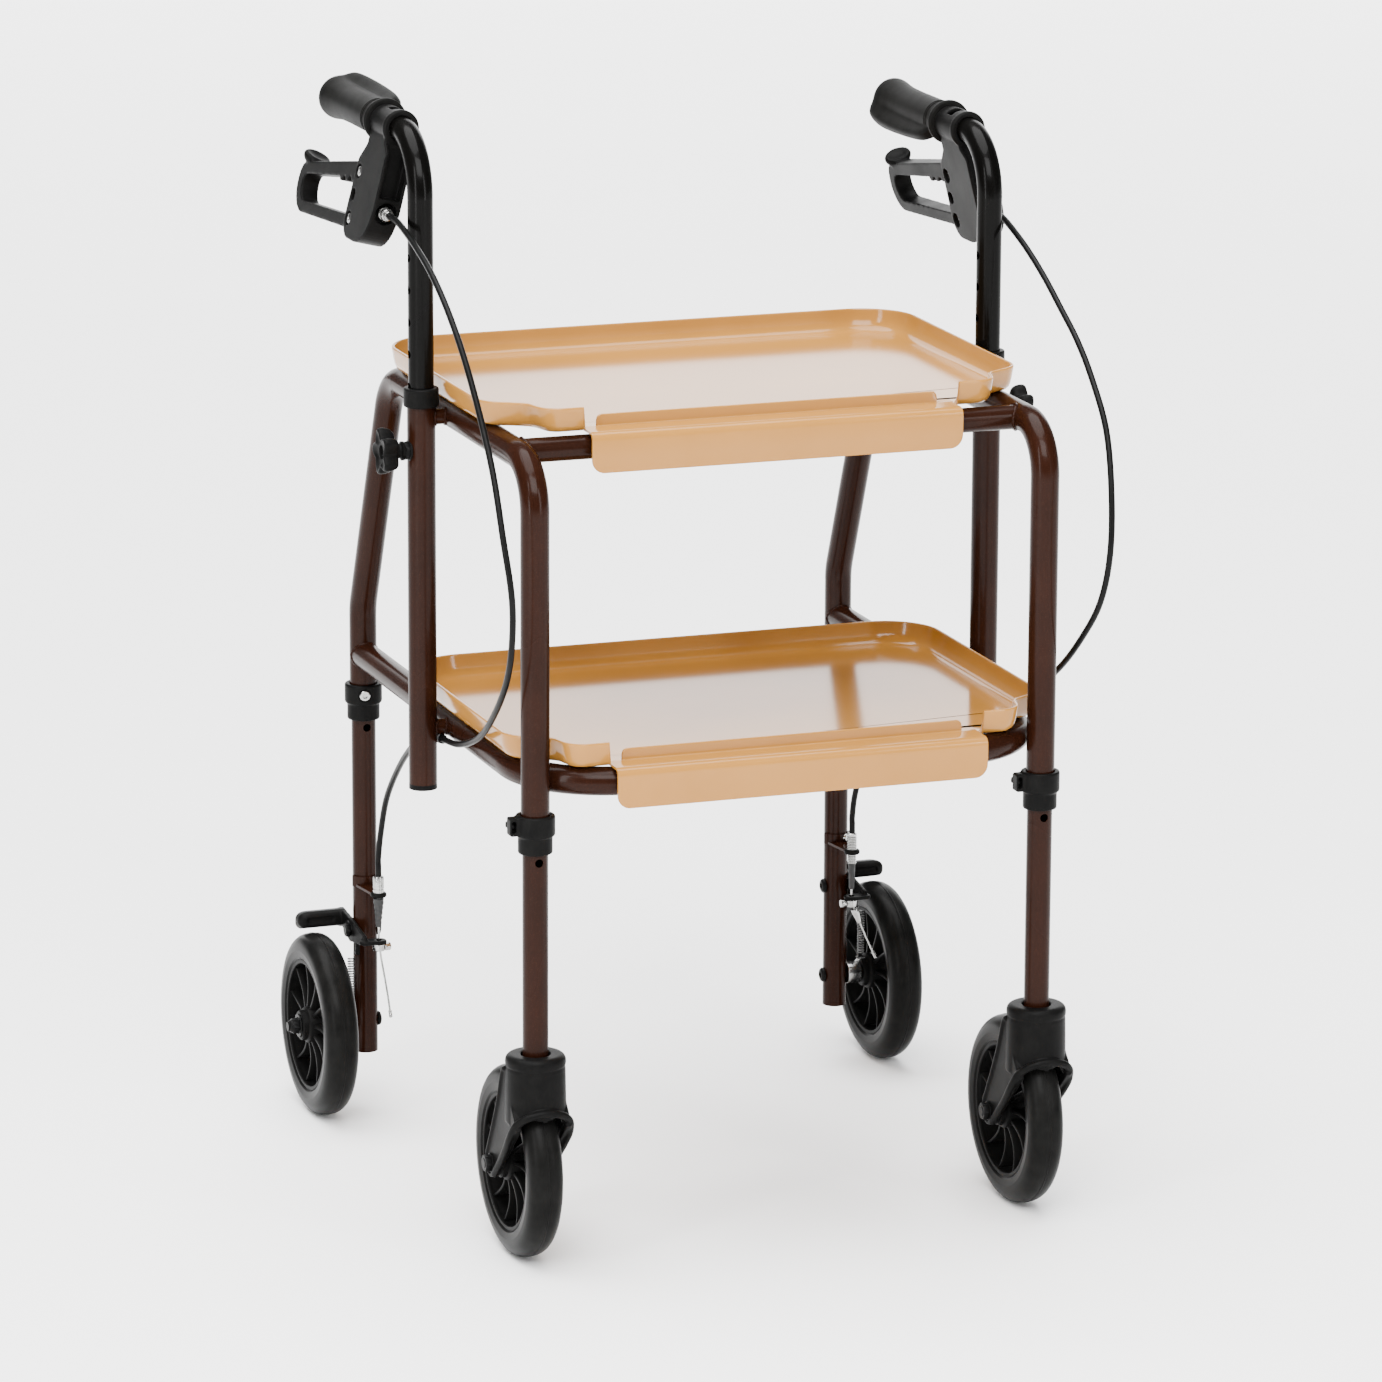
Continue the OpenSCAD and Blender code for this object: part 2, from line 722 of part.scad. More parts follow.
module hand_grip(roll) {
    color(black_plastic) translate([-post_x, 0, grip_z]) rotate([0, -roll, 0]) difference() {
        union() {
            loft([for (s = grip_stations) grip_ring(s)]);
            translate([0, flange_y, 0]) rotate([-90, 0, 0]) cylinder(d = grip_flange_d, h = flange_l);
        }
        translate([0, flange_y - over, 0]) rotate([-90, 0, 0])
            cylinder(d = slide_d + 2 * fit, h = tube_end_y - flange_y + over + 2 * fit);
    }
}

// Hand brakes, drawn about the grip's axis and tilted outwards
pin_set = 45;
pin_y = clamp_y + pin_set;
lever_pin_z = -42.5;
anchor_pin_z = -80;
detent_z = (lever_pin_z + anchor_pin_z) / 2;
barrel_z = -66;
barrel_set = 3;
barrel_seat_y = clamp_y - barrel_set;
pocket_d = 17;
pocket_h = 7;
pin_back = 10;
housing_front_y = barrel_seat_y - pocket_h;
housing_rear_y = pin_y + pin_back;
housing_low_z = -95;
housing_low_wall = 4;
shoulder_z = -14;
shoulder_fall = 6;
chin_r = 34;
heel_r = 16;
brow_r = 9;
cavity_half = housing_t / 2 - cheek_t;
cavity_y = pin_y - 14;
cavity_top_z = lever_pin_z + 25;
channel_wall = 2.6;
channel_half = housing_t / 2 - channel_wall;
channel_deep = 24;
channel_low_z = barrel_z + pocket_d / 2 + channel_wall;
pin_seat_d = 11;
pin_seat_h = 2;
detent_d = 9;
detent_h = 3.5;
split_w = 12;
split_l = 11;
module in_brake_frame() { translate([-post_x, 0, grip_z]) rotate([0, brake_tilt, 0]) children(); }
// Extrudes a [y, z] outline symmetrically along x
module across(w) { translate([-w / 2, 0, 0]) rotate([90, 0, 90]) linear_extrude(w) children(); }
module pin_hole(y, z, d) {
    translate([-housing_t, y, z]) rotate([0, 90, 0]) cylinder(d = d, h = 2 * housing_t);
}
// Round recess in both cheeks
module pin_seat(y, z, d, h) {
    for (s = [-1, 1])
        translate([s * (housing_t / 2 + over), y, z]) rotate([0, -90 * s, 0])
            cylinder(d = d, h = h + over);
}
module brake_housing() {
    clamp_end_y = clamp_y + clamp_l;
    color(black_plastic) in_brake_frame() difference() {
        union() {
            across(housing_t) polygon(rounded([
                [clamp_y, 0, 0],
                [clamp_y, shoulder_z, 0],
                [housing_front_y, shoulder_z - shoulder_fall, brow_r / 2],
                [housing_front_y, housing_low_z, chin_r],
                [housing_rear_y, housing_low_z, heel_r],
                [housing_rear_y - 2, lever_pin_z + brow_r, brow_r],
                [clamp_end_y, -grip_flange_d / 2 - 2 * over, 0],
                [clamp_end_y, 0, 0]
            ]));
            translate([0, clamp_y, 0]) rotate([-90, 0, 0]) cylinder(d = clamp_d, h = clamp_l);
            translate([0, clamp_y, 0]) rotate([-90, 0, 0]) cylinder(d = ring_d, h = ring_l);
        }
        translate([0, housing_front_y - 2 * over, 0]) rotate([-90, 0, 0])
            cylinder(d = slide_d + 4 * fit, h = clamp_end_y - housing_front_y + 4 * over);
        // Window over the clamp's split
        translate([-split_w / 2, clamp_y + (clamp_l - split_l) / 2, slide_d / 2 - over])
            cube([split_w, split_l, clamp_d]);
        // Open front channel
        translate([-channel_half, housing_front_y - over, channel_low_z])
            cube([2 * channel_half, channel_deep + over, -clamp_d / 2 - channel_low_z]);
        // Slot that takes the lever's web
        translate([-cavity_half, cavity_y, housing_low_z + housing_low_wall])
            cube([2 * cavity_half, 2 * pin_set, cavity_top_z - housing_low_z - housing_low_wall]);
        for (z = [lever_pin_z, anchor_pin_z]) {
            pin_hole(pin_y, z, pin_d + 2 * fit);
            pin_seat(pin_y, z, pin_seat_d, pin_seat_h);
        }
        pin_seat(pin_y + over, detent_z, detent_d, detent_h);
        // Pocket and bore of the cable's adjuster
        translate([0, housing_front_y - over, barrel_z]) rotate([-90, 0, 0]) {
            cylinder(d = pocket_d, h = pocket_h + over);
            cylinder(d = barrel_d - 3 + 2 * fit, h = pin_y - housing_front_y);
        }
    }
}
// Pivot pin, stop pin and the cable's screw adjuster
pin_head_h = 1.2;
barrel_l = 15;
nut_h = 4;
thread_l = 12;
cable_bore_d = 2.4;
module lever_fittings() {
    seat_x = housing_t / 2 - pin_seat_h + fit;
    color(zinc) in_brake_frame() {
        for (z = [lever_pin_z, anchor_pin_z]) translate([0, pin_y, z]) {
            along_x(-seat_x - pin_head_h, 0) cylinder(d = pin_d, h = 2 * (seat_x + pin_head_h));
            along_x(-seat_x - pin_head_h, 0) cylinder(d = pin_d + 2, h = pin_head_h);
            along_x(seat_x, 0) cylinder(d = pin_d + 2, h = pin_head_h);
        }
        translate([0, barrel_seat_y, barrel_z]) rotate([90, 0, 0]) difference() {
            union() {
                translate([0, 0, fit]) cylinder(d = barrel_d + 3, h = nut_h, $fn = 6);
                translate([0, 0, fit]) cylinder(d = barrel_d, h = barrel_l - nut_h);
                translate([0, 0, fit]) cylinder(d = barrel_d - 2, h = barrel_l);
                translate([0, 0, -thread_l]) cylinder(d = barrel_d - 3, h = thread_l + over);
            }
            translate([0, 0, -thread_l - over])
                cylinder(d = cable_bore_d, h = barrel_l + thread_l + 2 * over);
        }
    }
}
// Loop lever: top arm with finger ribs, rear bar, lower arm and the web that turns on the pivot pin
loop_front_y = pin_y + 8;
loop_rear_y = 206;
loop_top_z = lever_pin_z + 8;
loop_fall = 25;
loop_low_z = anchor_pin_z - 18;
loop_lift = 9;
loop_lean = 5;
loop_rear_t = 12;
arm_front_t = 14;
arm_rear_t = 7;
low_arm_t = 10;
window_y = housing_rear_y + 4;
eye_d = pin_d + 8;
web_reach = 14;
rib_d = 6;
rib_pitch = 12;
rib_count = 3;
thumb_d = 13;
thumb_over = 4;
module brake_lever() {
    low_front_z = loop_low_z + loop_lift;
    outer = rounded([
        [loop_front_y, low_front_z, 3],
        [loop_rear_y, loop_low_z, 14],
        [loop_rear_y - loop_lean, loop_top_z - loop_fall, 9],
        [loop_front_y, loop_top_z, 3]
    ]);
    window = rounded([
        [window_y, low_front_z + low_arm_t, 3],
        [loop_rear_y - loop_rear_t, loop_low_z + low_arm_t, 10],
        [loop_rear_y - loop_rear_t - loop_lean, loop_top_z - loop_fall - arm_rear_t, 9],
        [window_y, loop_top_z - arm_front_t, 3]
    ]);
    web_w = 2 * (cavity_half - clear);
    rib_slope = (loop_fall + arm_rear_t - arm_front_t) / (loop_rear_y - loop_rear_t - window_y);
    color(black_plastic) in_brake_frame() difference() {
        union() {
            intersection() {
                across(lever_w) difference() {
                    polygon(outer);
                    polygon(window);
                }
                translate([-lever_w, housing_rear_y + 5, 2 * housing_low_z])
                    cube([2 * lever_w, loop_rear_y, -2 * housing_low_z]);
            }
            across(web_w) difference() {
                polygon(outer);
                polygon(window);
            }
            // Web inside the housing, open round the stop pin
            across(web_w) difference() {
                union() {
                    translate([pin_y, lever_pin_z]) circle(d = eye_d);
                    polygon([
                        [pin_y, lever_pin_z + eye_d / 2],
                        [pin_y + web_reach, loop_top_z - 2],
                        [pin_y + web_reach, loop_top_z - arm_front_t],
                        [pin_y + 2, lever_pin_z - eye_d / 2 - 3],
                        [pin_y + 2, anchor_pin_z + pin_d + 3],
                        [pin_y + web_reach, low_front_z + low_arm_t],
                        [pin_y + web_reach, low_front_z + over],
                        [pin_y - eye_d / 2 - over, low_front_z + 3],
                        [pin_y - eye_d / 2 - over, lever_pin_z]
                    ]);
                }
                polygon(strap(
                    [pin_y - 10, anchor_pin_z + over], pin_d / 2 + 2 * clear,
                    [pin_y, anchor_pin_z], pin_d / 2 + clear
                ));
            }
            for (k = [1:rib_count])
                across(lever_w - 3) translate([
                    window_y + rib_pitch * k,
                    loop_top_z - arm_front_t - rib_slope * rib_pitch * k
                ])
                    circle(d = rib_d);
            translate([-lever_w / 2 - thumb_over, loop_rear_y - 16, loop_top_z - 22]) rotate([0, 90, 0])
                cylinder(d = thumb_d, h = lever_w + 2 * thumb_over);
        }
        pin_hole(pin_y, lever_pin_z, pin_d + 2 * run);
    }
}

// Front legs and casters
caster_y = front_y + trail;
cup_h = 15;
cup_floor_z = fork_top_z - cup_h;
cup_d = slide_d + 3;
cup_floor_t = 5;
stem_d = 8;
stem_head_d = 12;
stem_head_h = 3.5;
bush_flange_h = 3;
bush_l = 30;
leg_hole_set = 6;
leg_hole_z = frame_foot_z - clamp_low_h - leg_hole_set;
module front_leg_tube() {
    color(frame_brown) difference() {
        translate([-half_track, front_y, 0])
            upright(cup_floor_z + bush_flange_h + clear + fit, front_leg_top_z, slide_d, slide_id);
        translate([-half_track, front_y - slide_d, leg_hole_z]) rotate([-90, 0, 0])
            cylinder(d = hole_d, h = slide_d);
    }
}
module swivel_bush() {
    color(black_plastic) translate([-half_track, front_y, cup_floor_z + clear]) difference() {
        union() {
            cylinder(d = cup_d - 2 * clear, h = bush_flange_h);
            cylinder(d = slide_id - 2 * fit, h = bush_flange_h + bush_l);
        }
        translate([0, 0, -over]) cylinder(d = stem_d + 2 * run, h = bush_flange_h + bush_l + 2 * over);
    }
}
wheel_room = 5;
fork_gap = 0.5;
arm_in = hub_w / 2 + fork_gap;
boss_r = 11;
head_low_z = 122;
cap_h = 7;
cap_over = 1.2;
hood_r = 24;
hood_at = [front_y + 6, 128];
fork_rim_w = 3;
fork_rim_h = 1.6;
fork_outline = strap([caster_y, wheel_r], boss_r, hood_at, hood_r);
module caster_fork() {
    fork_w = 2 * (arm_in + fork_arm_t);
    color(black_plastic) difference() {
        union() {
            translate([-half_track, front_y, 0]) rotate_extrude() polygon(rounded([
                [0, head_low_z, 0],
                [fork_head_d / 2, head_low_z, 2],
                [fork_head_d / 2, fork_top_z - cap_h, 0],
                [fork_head_d / 2 + cap_over, fork_top_z - cap_h, 1],
                [fork_head_d / 2 + cap_over, fork_top_z, 3.5],
                [0, fork_top_z, 0]
            ]));
            // Two arms joined by a hood over the tyre, with a raised rim round their edge
            translate([-half_track, 0, 0]) {
                across(fork_w) polygon(fork_outline);
                across(fork_w + 2 * fork_rim_h) difference() {
                    polygon(fork_outline);
                    polygon(inset(fork_outline, fork_rim_w));
                }
            }
        }
        // Room for the wheel
        translate([0, caster_y, wheel_r]) along_x(-half_track - arm_in, 0)
            cylinder(r = wheel_r + wheel_room, h = 2 * arm_in, $fn = 96);
        translate([-half_track, front_y, cup_floor_z]) cylinder(d = cup_d, h = fork_top_z);
        translate([-half_track, front_y, 0]) cylinder(d = stem_d + 2 * fit, h = fork_top_z);
        translate([-half_track, front_y, 0])
            cylinder(d = stem_head_d + 2 * clear, h = cup_floor_z - cup_floor_t);
        translate([0, caster_y, wheel_r]) along_x(-half_track - fork_head_d, 0)
            cylinder(d = axle_d + 2 * fit, h = 2 * fork_head_d);
    }
}
bolt_head_d = 14;
bolt_head_h = 6;
stem_l = 28;
module caster_bolts() {
    color(zinc) translate([-half_track, front_y, cup_floor_z - cup_floor_t - stem_head_h - fit]) {
        cylinder(d = stem_head_d, h = stem_head_h);
        cylinder(d = stem_d, h = cup_floor_t + stem_head_h + stem_l);
    }
    arm_out = arm_in + fork_arm_t + fit;
    color(black_plastic) translate([-half_track, caster_y, wheel_r]) {
        along_x(-arm_out - bolt_head_h, 0) cylinder(d = bolt_head_d, h = bolt_head_h, $fn = 6);
        along_x(arm_out, 0) cylinder(d = bolt_head_d, h = bolt_head_h, $fn = 6);
        along_x(-arm_out - bolt_head_h, 0) cylinder(d = axle_d, h = 2 * (arm_out + bolt_head_h));
    }
}

// Wheels, drawn at the origin with their axis along x
rim_set = 2;
rim_w = tyre_w - 2 * rim_set;
rim_wall = 4;
spoke_set = 3;
bead_h = 5;
bead_r = 3;
tread_r = 11;
module wheel_rim() {
    rim_r = tyre_bore_d / 2 - fit;
    color(black_plastic) rotate([0, 90, 0]) difference() {
        union() {
            difference() {
                translate([0, 0, -rim_w / 2]) cylinder(r = rim_r, h = rim_w);
                translate([0, 0, -rim_w / 2 - over])
                    cylinder(r = rim_r - rim_wall, h = rim_w + 2 * over);
            }
            translate([0, 0, -hub_w / 2]) cylinder(d = hub_d, h = hub_w);
            for (k = [0:spokes - 1])
                rotate(360 * k / spokes) translate([hub_d / 2 - over, -spoke_t / 2, spoke_set - rim_w / 2])
                    cube([rim_r - rim_wall - hub_d / 2 + 2 * over, spoke_t, rim_w - 2 * spoke_set]);
        }
        translate([0, 0, -hub_w]) cylinder(d = axle_d + 2 * run, h = 2 * hub_w);
    }
}
module wheel_tyre() {
    color(rubber_black) rotate([0, 90, 0]) rotate_extrude($fn = 96) polygon(rounded([
        [tyre_bore_d / 2, -rim_w / 2, 0],
        [tyre_bore_d / 2 + bead_h, -tyre_w / 2, bead_r],
        [wheel_r, -tyre_w / 2, tread_r],
        [wheel_r, tyre_w / 2, tread_r],
        [tyre_bore_d / 2 + bead_h, tyre_w / 2, bead_r],
        [tyre_bore_d / 2, rim_w / 2, 0]
    ]));
}
module at_front_wheel() { translate([-half_track, caster_y, wheel_r]) children(); }
module at_rear_wheel() { translate([-half_track - wheel_offset, rear_y, wheel_r]) children(); }

// Rear legs
wire_y = rear_y - wire_offset;
module rear_leg_tube() {
    color(frame_brown) translate([-half_track, rear_y, 0]) difference() {
        upright(rear_leg_foot_z, rear_leg_top_z, slide_d, slide_id);
        for (z = [wheel_r, brake_pivot_z])
            translate([0, 0, z]) along_x(-slide_d, 0) cylinder(d = axle_d + 2 * fit, h = 2 * slide_d);
        translate([0, -slide_d, leg_hole_z]) rotate([-90, 0, 0]) cylinder(d = hole_d, h = slide_d);
    }
}
stop_t = 3;
band_h = 9;
band_t = 2.5;
stop_ring_d = 13;
ferrule_d = 9;
adjuster_d = 6;
module cable_stop() {
    color(black_plastic) difference() {
        union() {
            translate([-half_track, rear_y, stop_z]) cylinder(d = slide_d + 2 * band_t, h = band_h);
            translate([-half_track, 0, stop_z]) linear_extrude(stop_t)
                polygon(strap([0, rear_y], slide_d / 2 + over, [0, wire_y], stop_ring_d / 2));
        }
        translate([-half_track, rear_y, stop_z - over])
            cylinder(d = slide_d + 2 * fit, h = band_h + 2 * over);
        translate([-half_track, wire_y, stop_z - over]) cylinder(d = adjuster_d + 2 * fit, h = band_h);
    }
}
wire_d = 1.8;
ferrule_l = 14;
adjuster_l = 2;
boot_l = 24;
boot_d = 9;
boot_tip_d = 4.5;
hub_in = wheel_offset - hub_w / 2;
arm_x = slide_d / 2 + clear;
spring_set = 16;
spring_y = rear_y - spring_set;
spring_axis_x = -half_track - arm_x - arm_t - spring_d / 2 - over;
spring_r = (spring_d - spring_wire_d) / 2;
spring_end_x = spring_axis_x + spring_r;
spring_foot = 20;
spring_head = 19;
spring_low_z = wheel_r + spring_foot;
spring_high_z = brake_pivot_z - spring_head;
spring_tail = 5;
spring_seat = 2;
tab_t = 1.5;
tab_eye = 4.5;
module spring_tab() {
    tab_z = spring_low_z - spring_seat - tab_t;
    difference() {
        union() {
            translate([spring_axis_x, 0, 0]) across(tab_t)
                polygon(strap([rear_y, wheel_r], axle_d / 2 + tab_eye, [spring_y, tab_z], tab_t));
            translate([spring_axis_x - spring_d / 2, spring_y - spring_d / 2, tab_z])
                cube([spring_d, spring_d, tab_t]);
        }
        translate([0, rear_y, wheel_r]) along_x(-half_track - wheel_offset, 0)
            cylinder(d = axle_d + 2 * fit, h = wheel_offset);
        translate([spring_end_x, spring_y, spring_low_z - spring_tail - over])
            cylinder(d = spring_wire_d + 4 * fit, h = spring_tail + over);
    }
}
bolt_end = 4;
spacer_t = 5;
cap_d = bolt_head_d - 2;
module rear_fittings() {
    hub_out = wheel_offset + hub_w / 2 + clear;
    arm_out = arm_x + arm_t + clear;
    translate([-half_track, rear_y, wheel_r]) {
        color(black_plastic) {
            along_x(-hub_out - bolt_head_h - bolt_end, 0)
                cylinder(d = axle_d, h = hub_out + bolt_head_h + bolt_end + slide_d / 2);
            along_x(-hub_out - bolt_head_h, 0) cylinder(d = bolt_head_d, h = bolt_head_h, $fn = 6);
            along_x(slide_d / 2 + fit, 0) cylinder(d = cap_d, h = bolt_head_h / 2);
        }
        color(zinc) difference() {
            along_x(-hub_in + clear, 0)
                cylinder(d = axle_d + 2 * spacer_t, h = hub_in - clear - slide_d / 2 - fit);
            along_x(-hub_in, 0) cylinder(d = axle_d + 2 * fit, h = hub_in);
        }
    }
    color(zinc) spring_tab();
    color(black_plastic) translate([-half_track, rear_y, brake_pivot_z]) {
        along_x(-arm_out - bolt_end, 0)
            cylinder(d = axle_d, h = arm_out + bolt_end + slide_d / 2 + fit + bolt_head_h / 2);
        along_x(-arm_out - bolt_end, 0) cylinder(d = cap_d, h = bolt_end, $fn = 6);
        along_x(slide_d / 2 + fit, 0) cylinder(d = cap_d, h = bolt_head_h / 2);
    }
    translate([-half_track, wire_y, stop_z]) difference() {
        union() {
            color(zinc) translate([0, 0, stop_t + fit]) cylinder(d = ferrule_d, h = ferrule_l);
            color(zinc) translate([0, 0, -adjuster_l])
                cylinder(d = adjuster_d, h = adjuster_l + stop_t + over);
            color(grey_boot) translate([0, 0, -adjuster_l - boot_l])
                cylinder(d1 = boot_tip_d, d2 = boot_d, h = boot_l + fit);
        }
        translate([0, 0, -adjuster_l - boot_l - over])
            cylinder(d = wire_d + 6 * run, h = adjuster_l + boot_l + ferrule_l);
    }
}
// Brake arm: rocker plate beside the leg, ear in front of it for the wire, shoe over the tyre
ear_set = 1;
ear_z = brake_pivot_z - ear_set;
ear_t = 3;
ear_r = 6.5;
hub_r = 10;
wrist_r = 4.5;
elbow_r = 7;
shoe_set = 22;
shoe_y = rear_y + shoe_set;
shoe_l = 26;
shoe_r = 5;
shoe_front_h = 14;
shoe_rear_h = 10;
ear_hole_d = wire_d + 2.4;
module brake_arm() {
    plate_x = -half_track - arm_x - arm_t;
    shoe_out = wheel_offset + tyre_w / 2;
    lug_z = spring_high_z + spring_seat;
    color(black_plastic) difference() {
        union() {
            translate([plate_x + arm_t / 2, 0, 0]) across(arm_t) {
                polygon(strap([rear_y, brake_pivot_z], hub_r, [wire_y + 2, brake_pivot_z], wrist_r));
                polygon(strap([rear_y, brake_pivot_z], hub_r, [shoe_y + 4, brake_pivot_z + 6], elbow_r));
            }
            translate([0, 0, ear_z - ear_t / 2]) linear_extrude(ear_t)
                polygon(strap([plate_x + arm_t, wire_y], ear_r, [-half_track, wire_y], ear_r));
            // Lug that the return spring hooks into
            translate([spring_axis_x - spring_d / 2, spring_y - spring_d / 2, lug_z])
                cube([plate_x + arm_t - spring_axis_x + spring_d / 2, spring_d, ear_t]);
            translate([plate_x, spring_y - spring_d / 2, lug_z])
                cube([arm_t, spring_d, brake_pivot_z - lug_z]);
            intersection() {
                translate([-half_track - shoe_out, shoe_y - shoe_l / 2, wheel_r * 1.8])
                    cube([shoe_out + half_track + plate_x + arm_t, shoe_l, wheel_r]);
                along_x(-half_track - shoe_out, 0) linear_extrude(shoe_out) polygon(rounded([
                    [-brake_pivot_z - shoe_front_h, shoe_y - shoe_l / 2, shoe_r],
                    [-brake_pivot_z - shoe_rear_h, shoe_y + shoe_l / 2, shoe_r],
                    [-wheel_r, shoe_y + shoe_l / 2, 0],
                    [-wheel_r, shoe_y - shoe_l / 2, 0]
                ]));
            }
        }
        translate([0, rear_y, wheel_r]) along_x(-half_track - 2 * shoe_out, 0)
            cylinder(r = wheel_r + shoe_gap, h = 2 * shoe_out - arm_x - arm_t, $fn = 96);
        translate([0, rear_y, brake_pivot_z]) {
            along_x(plate_x - over, 0) cylinder(d = axle_d + 2 * run, h = arm_t + 2 * over);
            along_x(plate_x - slide_d, 0) cylinder(d = bolt_head_d, h = slide_d);
        }
        translate([-half_track, wire_y, ear_z - ear_t]) cylinder(d = ear_hole_d, h = 2 * ear_t);
        translate([spring_end_x, spring_y, spring_high_z])
            cylinder(d = spring_wire_d + 4 * fit, h = 2 * spring_tail);
    }
}
// Pinch bolt under the ear, with the wire's free tail
pinch_d = 10;
pinch_h = 6;
pinch_screw_d = 6;
pinch_screw_l = 5;
grip_l = 4;
crimp_l = 6;
tail = [
    [0, -3.4, -4], [0, -2, -8], [0, -4, -14], [0, -8, -24], [0, -12, -35], [0, -15, -46], [0, -16, -54]
];
module pinch_bolt() {
    at = [-half_track, wire_y, ear_z - ear_t / 2 - fit];
    color(zinc) {
        translate(at - [0, 0, pinch_h]) difference() {
            cylinder(d = pinch_d, h = pinch_h);
            translate([0, 0, -over]) cylinder(d = ear_hole_d, h = pinch_h + 2 * over);
        }
        translate(at + [pinch_d / 2 - fit, 0, -pinch_h / 2]) rotate([0, 90, 0])
            cylinder(d = pinch_screw_d, h = pinch_screw_l, $fn = 6);
        loft(tube_rings([for (p = tail) at + p], wire_d, 6));
        translate(at + tail[len(tail) - 1] - [0, 0, crimp_l - over])
            cylinder(d = wire_d + over, h = crimp_l);
    }
}
wire_in = 8;
module brake_wire() {
    low_z = ear_z - ear_t / 2 - grip_l;
    color(zinc) translate([-half_track, wire_y, low_z])
        cylinder(d = wire_d, h = stop_z + wire_in - low_z);
}
// Return spring between the brake arm's lug and a tab on the axle, one unbroken wire
rings_per_curl = 8;
spring_pitch = (spring_high_z - spring_low_z) / spring_curls;
spring_points = concat(
    [for (h = [spring_tail, spring_wire_d]) [spring_end_x, spring_y, spring_low_z - h]],
    [
        for (k = [0:spring_curls * rings_per_curl])
            let (a = 360 * k / rings_per_curl)
            [
                spring_axis_x + spring_r * cos(a),
                spring_y + spring_r * sin(a),
                spring_low_z + spring_pitch * k / rings_per_curl
            ]
    ],
    [for (h = [spring_wire_d, spring_tail]) [spring_end_x, spring_y, spring_high_z + h]]
);
last_point = len(spring_points) - 1;
spring_self_gap = min([
    for (i = [0:last_point], j = [i + rings_per_curl - 2:1:min(last_point, i + rings_per_curl + 2)])
        norm(spring_points[i] - spring_points[j])
]) - spring_wire_d;
echo(spring_self_gap = spring_self_gap);
module return_spring() { color(zinc) loft(tube_rings(spring_points, spring_wire_d, 6)); }

// Brake cables, from the lever's adjuster in a bow to the clip on the lower stub, then to the rear stop
clip_wall = 1.2;
clip_l = 8;
clip_gap = 0.5;
clip_at = [
    -post_x + tube_d / 2 + clip_gap + clip_wall + cable_d / 2,
    post_y,
    low_rail_z - stub_d / 2 - cable_d / 2 - clip_wall - clear
];
// Left and right bows, from the adjuster's tip
bow_left = [
    [0, -28, -2], [-1, -68, -11], [-1, -108, -25], [-1, -148, -46],
    [0, -183, -74], [2, -214, -111], [5, -238, -153]
];
bow_right = [
    [0, -28, -4], [-1, -63, -17], [-2, -98, -34], [-2, -133, -53],
    [-1, -168, -71], [0, -200, -94], [3, -238, -128]
];
// Way down to the clip and past it, from the clip
sag_points = [
    [-25, -230, 211], [-21, -239, 166], [-18, -229, 126], [-14, -203, 92], [-11, -165, 59], [-7, -117, 30],
    [-3, -55, 9], [0, 0, 0], [2, 50, -10]
];
// Last stretch, from the rear stop's ferrule
stop_points = [[-7, -107, 131], [-3, -60, 101], [-1, -26, 70], [0, -7, 37]];
cable_sides = 8;
function barrel_tip(drop) =
    let (r = [0, barrel_seat_y - barrel_l - 3 * fit, barrel_z])
    [r[2] * sin(brake_tilt) - post_x, r[1], r[2] * cos(brake_tilt) + grip_z - drop];
stop_top = [-half_track, wire_y, stop_z + stop_t + ferrule_l + 4 * fit];
module brake_cable(drop, bow) {
    tip = barrel_tip(drop);
    path = concat(
        [for (k = [0:2]) tip - [0, k * cable_d, 0]],
        [for (p = bow) tip + p],
        [for (p = sag_points) clip_at + p],
        [for (p = stop_points) stop_top + p],
        [for (k = [2:-1:0]) stop_top + [0, 0, k * 1.5 * cable_d]]
    );
    color(rubber_black) loft(tube_rings(smooth(path, 2), cable_d, cable_sides));
}
// Clips that hold the cables under the posts' lower stubs, in line with the cable there
clip_run = unit(sag_points[8] - sag_points[6]);
module cable_clip() {
    color(black_plastic) difference() {
        union() {
            bar(
                clip_at - clip_l / 2 * clip_run, clip_at + clip_l / 2 * clip_run, cable_d + 2 * clip_wall
            );
            translate(clip_at - [2, 2, 0]) cube([4, 4, low_rail_z - clip_at[2]]);
        }
        bar(clip_at - clip_l * clip_run, clip_at + clip_l * clip_run, cable_d + clear);
        translate([0, post_y, low_rail_z]) along_x(-post_x, 0)
            cylinder(d = stub_d + 2 * fit, h = post_offset);
    }
}
module cable_clips() {
    left() cable_clip();
    right() cable_clip();
}

left() side_frame();  // side_frame_left
right() side_frame();  // side_frame_right
top_front_rail();
top_rear_rail();
lower_shelf_rail();
lower_rear_rail();
left() handle_post();  // handle_post_left
right() handle_post();  // handle_post_right
post_collars();
post_end_plugs();
leg_clamps();
clamp_screws();
cable_clips();
left() brake_cable(0, bow_left);  // brake_cable_left
right() brake_cable(right_drop, bow_right);  // brake_cable_right
upper_tray();
lower_tray();
left() star_knob();  // star_knob_left
right() star_knob();  // star_knob_right
left_handle() handle_tube();  // handle_tube_left
right_handle() handle_tube();  // handle_tube_right
left_handle() hand_grip(grip_roll_left);  // hand_grip_left
right_handle() hand_grip(grip_roll_right);  // hand_grip_right
left_handle() brake_housing();  // brake_housing_left
right_handle() brake_housing();  // brake_housing_right
left_handle() lever_fittings();  // lever_fittings_left
right_handle() lever_fittings();  // lever_fittings_right
left_handle() brake_lever();  // brake_lever_left
right_handle() brake_lever();  // brake_lever_right
left() front_leg_tube();  // front_leg_tube_left
right() front_leg_tube();  // front_leg_tube_right
left() swivel_bush();  // swivel_bush_left
right() swivel_bush();  // swivel_bush_right
